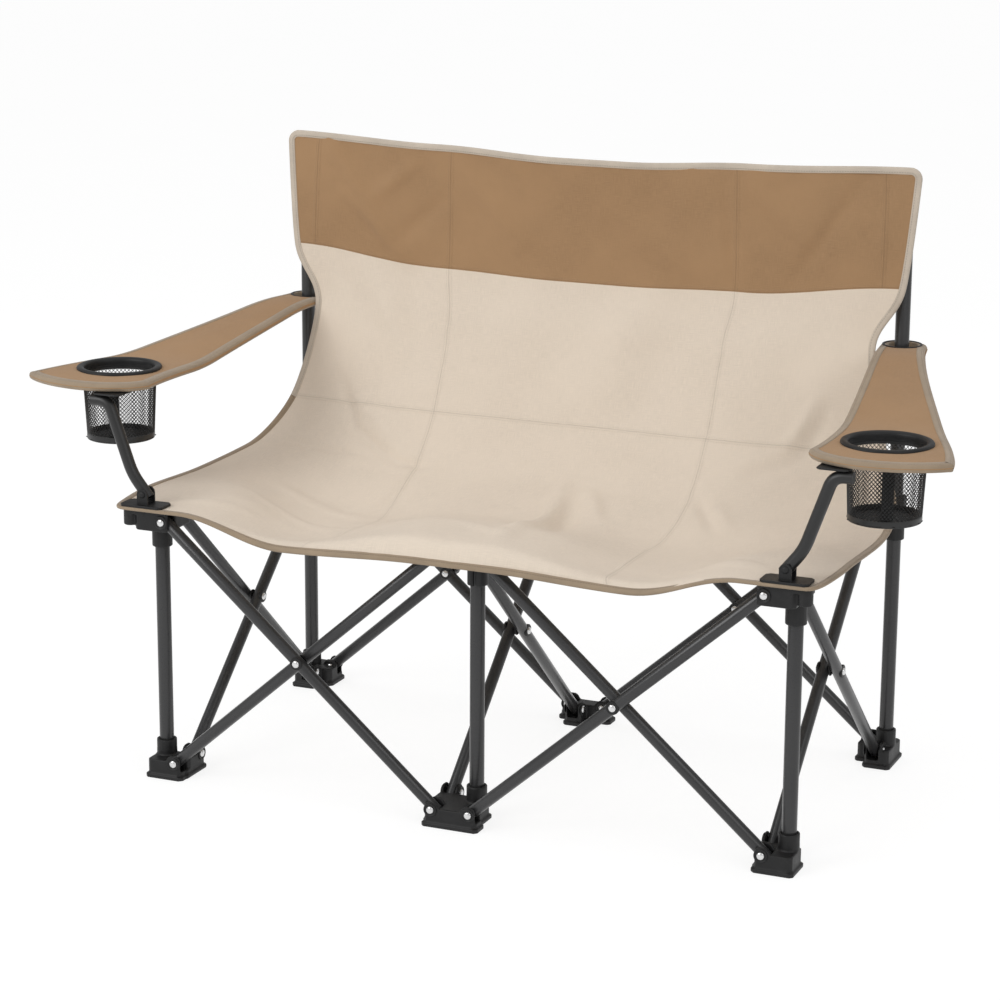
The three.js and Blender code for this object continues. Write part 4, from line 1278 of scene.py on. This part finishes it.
class LOVESEAT_OT_rivets(bpy.types.Operator):
    """Set bright domed rivets at the crossings and in every moulding"""

    bl_idname = "loveseat.rivets"
    bl_label = "Rivets"

    def execute(self, context):
        steel, black = finish_of(bright_steel), finish_of(moulding)
        head, cap, pin = (0.0030, 0.0058), (0.0026, 0.0052), 0.0028  # height and radius, and the pin's radius
        under, proud = 0.0019, 0.0005  # a head starts inside the solid's end, or off a moulding's wall
        cap_low, cap_out = 0.009, 0.0033  # cap below the top of its lug, and off the support's tube
        for node in nodes_named("_rivet"):
            low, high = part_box(node)
            size, centre = high - low, middle(node)
            axis = Vector((1, 0, 0)) if size.x > size.y else Vector((0, 1, 0))
            half = max(size.x, size.y) / 2 - under
            rivet, spacer = bmesh.new(), turned(WASHER, 32)
            bmesh.ops.transform(spacer, matrix=facing(centre, axis), verts=spacer.verts)
            for way in (axis, -axis):
                join_in(rivet, dome(*head), facing(centre + way * half, way))
                join_in(spacer, turned(COLLAR, 32), facing(centre + way * half, way))
            join_in(rivet, rod(centre - axis * half, centre + axis * half, pin, segments=20))
            self.fit(node + "_domed", rivet, steel, node, "rivet", node)
            self.fit(node.replace("rivet", "spacer"), spacer, black, node, "moulded")
        for node, pivots in held_pivots().items():
            heads, bosses = bmesh.new(), bmesh.new()
            for point, axis, _ in pivots:
                for way in (axis, -axis):
                    join_in(heads, dome(), facing(point + way * (WALL_FACE + proud), way))
                    join_in(bosses, turned(BOSS, 32), facing(point + way * WALL_FACE, way))
            self.fit(node + "_rivets", heads, steel, node, "rivet")
            self.fit(node + "_bosses", bosses, black, node, "moulded")
        for name, side in SIDES:
            node = f"{name}_corner_plate"
            point = at(side * POST_X, ARM_Y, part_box(node)[1].z - cap_low)
            caps = bmesh.new()
            for way in (Vector((0, 1, 0)), Vector((0, -1, 0))):
                join_in(caps, dome(*cap), facing(point + way * (TUBE_R + cap_out), way))
            self.fit(node + "_caps", caps, black, node, "moulded")
        return {"FINISHED"}

    def fit(self, name, bm, finish, carrier, slot, node=None):
        settle(piece(name, bm, finish, flat_angle=0.6), body_of(carrier), node)


# Stage


class LOVESEAT_OT_stage(bpy.types.Operator):
    """Set the pale floor, the soft lights and the camera"""

    bl_idname = "loveseat.stage"
    bl_label = "Stage"

    def execute(self, context):
        scene = context.scene
        bm, half, drop = bmesh.new(), 30.0, 0.0004
        bmesh.ops.create_grid(bm, x_segments=8, y_segments=8, size=half)
        bmesh.ops.translate(bm, vec=(0, 0, -drop), verts=bm.verts)
        floor = piece("floor", bm, self.floor_finish())
        world = bpy.data.worlds.new("studio")
        world.use_nodes = True
        scene.world = world
        nodes = Nodes(world.node_tree)
        rays = nodes.node("ShaderNodeLightPath").outputs
        seen = nodes.math("ADD", rays["Is Camera Ray"], rays["Is Transmission Ray"], clamp=True)
        lit, shown = 0.62, 1.0  # strength as a light, and as the camera sees it
        strength = nodes.node("ShaderNodeMapRange", {0: seen, 3: lit, 4: shown}).outputs[0]
        back = nodes.tree.nodes["Background"]
        nodes.feed(back.inputs[0], (1.0, 1.0, 1.0, 1.0))
        nodes.feed(back.inputs[1], strength)
        aim = Vector((0, 0, 0.4))
        lamps = (  # name, place, size and power
            ("key", (-2.4, -3.6, 2.7), 2.4, 84.0),
            ("fill", (3.4, -2.2, 2.4), 2.4, 26.0),
            ("top", (0.2, 0.6, 4.2), 3.2, 24.0),
        )
        for name, place, size, power in lamps:
            data = bpy.data.lights.new(name, "AREA")
            data.shape, data.size, data.energy = "SQUARE", size, power
            lamp = bpy.data.objects.new(name, data)
            scene.collection.objects.link(lamp)
            lamp.location = place
            lamp.rotation_euler = (aim - Vector(place)).to_track_quat("-Z", "Y").to_euler()
        self.camera(scene)
        scene.view_settings.view_transform = "Standard"
        return {"FINISHED"}

    def floor_finish(self):
        finish = Finish("pale_floor")
        rays = finish.node("ShaderNodeLightPath").outputs
        seen = finish.math("ADD", rays["Is Camera Ray"], rays["Is Glossy Ray"], clamp=True)
        grain = finish.noise(finish.object_point(), 2.0, 2.0)
        finish.set(Base_Color=finish.mix(grain, (0.80, 0.80, 0.80, 1), (0.83, 0.83, 0.83, 1)), Roughness=0.9)
        glow = finish.node("ShaderNodeEmission", {"Color": (1, 1, 1, 1), "Strength": 1.16})
        parts = {0: finish.times(seen, 0.72), 1: finish.shader.outputs[0], 2: glow.outputs[0]}
        blend = finish.node("ShaderNodeMixShader", parts)
        finish.feed(finish.tree.nodes["Material Output"].inputs[0], blend.outputs[0])
        return finish.material

    def camera(self, scene):
        az, el, roll, distance = math.radians(23.04), math.radians(14.36), math.radians(0.36), 4.413
        data = bpy.data.cameras.new("camera")
        focal, picture, sensor = 2930, 1000, 36.0  # pixels, pixels, millimetres
        data.lens, data.sensor_width = focal / picture * sensor, sensor
        data.clip_start, data.clip_end = 0.05, 200.0
        camera = bpy.data.objects.new("camera", data)
        scene.collection.objects.link(camera)
        ahead = Vector((-math.sin(az) * math.cos(el), math.cos(az) * math.cos(el), -math.sin(el)))
        right = Vector((math.cos(az), math.sin(az), 0.0))
        up = right.cross(ahead)
        right, up = right * math.cos(roll) + up * math.sin(roll), up * math.cos(roll) - right * math.sin(roll)
        turn = Matrix((right, up, -ahead)).transposed().to_4x4()
        target = at(-0.031, 0.200, 0.434)
        camera.matrix_world = Matrix.Translation(target - ahead * distance) @ turn
        scene.camera = camera


# Panel


STEPS = (
    LOVESEAT_OT_stage,
    LOVESEAT_OT_sling,
    LOVESEAT_OT_armrests,
    LOVESEAT_OT_cup_holders,
    LOVESEAT_OT_tubes,
    LOVESEAT_OT_mouldings,
    LOVESEAT_OT_rivets,
)


class LOVESEAT_PT_pieces(bpy.types.Panel):
    """Pieces of the loveseat and their settings"""

    bl_label = "Loveseat"
    bl_idname = "LOVESEAT_PT_pieces"
    bl_space_type = "VIEW_3D"
    bl_region_type = "UI"
    bl_category = "Loveseat"

    def draw(self, context):
        for group in (context.scene.loveseat_cloth, context.scene.loveseat_frame):
            for key in group.__annotations__:
                self.layout.prop(group, key)
        for step in STEPS:
            self.layout.operator(step.bl_idname)


CLASSES = (LoveseatCloth, LoveseatFrame, *STEPS, LOVESEAT_PT_pieces)


def register():
    for cls in CLASSES:
        bpy.utils.register_class(cls)
    bpy.types.Scene.loveseat_cloth = bpy.props.PointerProperty(type=LoveseatCloth)
    bpy.types.Scene.loveseat_frame = bpy.props.PointerProperty(type=LoveseatFrame)


def unregister():
    del bpy.types.Scene.loveseat_cloth
    del bpy.types.Scene.loveseat_frame
    for cls in reversed(CLASSES):
        bpy.utils.unregister_class(cls)


def main():
    register()
    for step in STEPS:
        family, name = step.bl_idname.split(".")
        getattr(getattr(bpy.ops, family), name)()


if __name__ == "__main__":
    main()
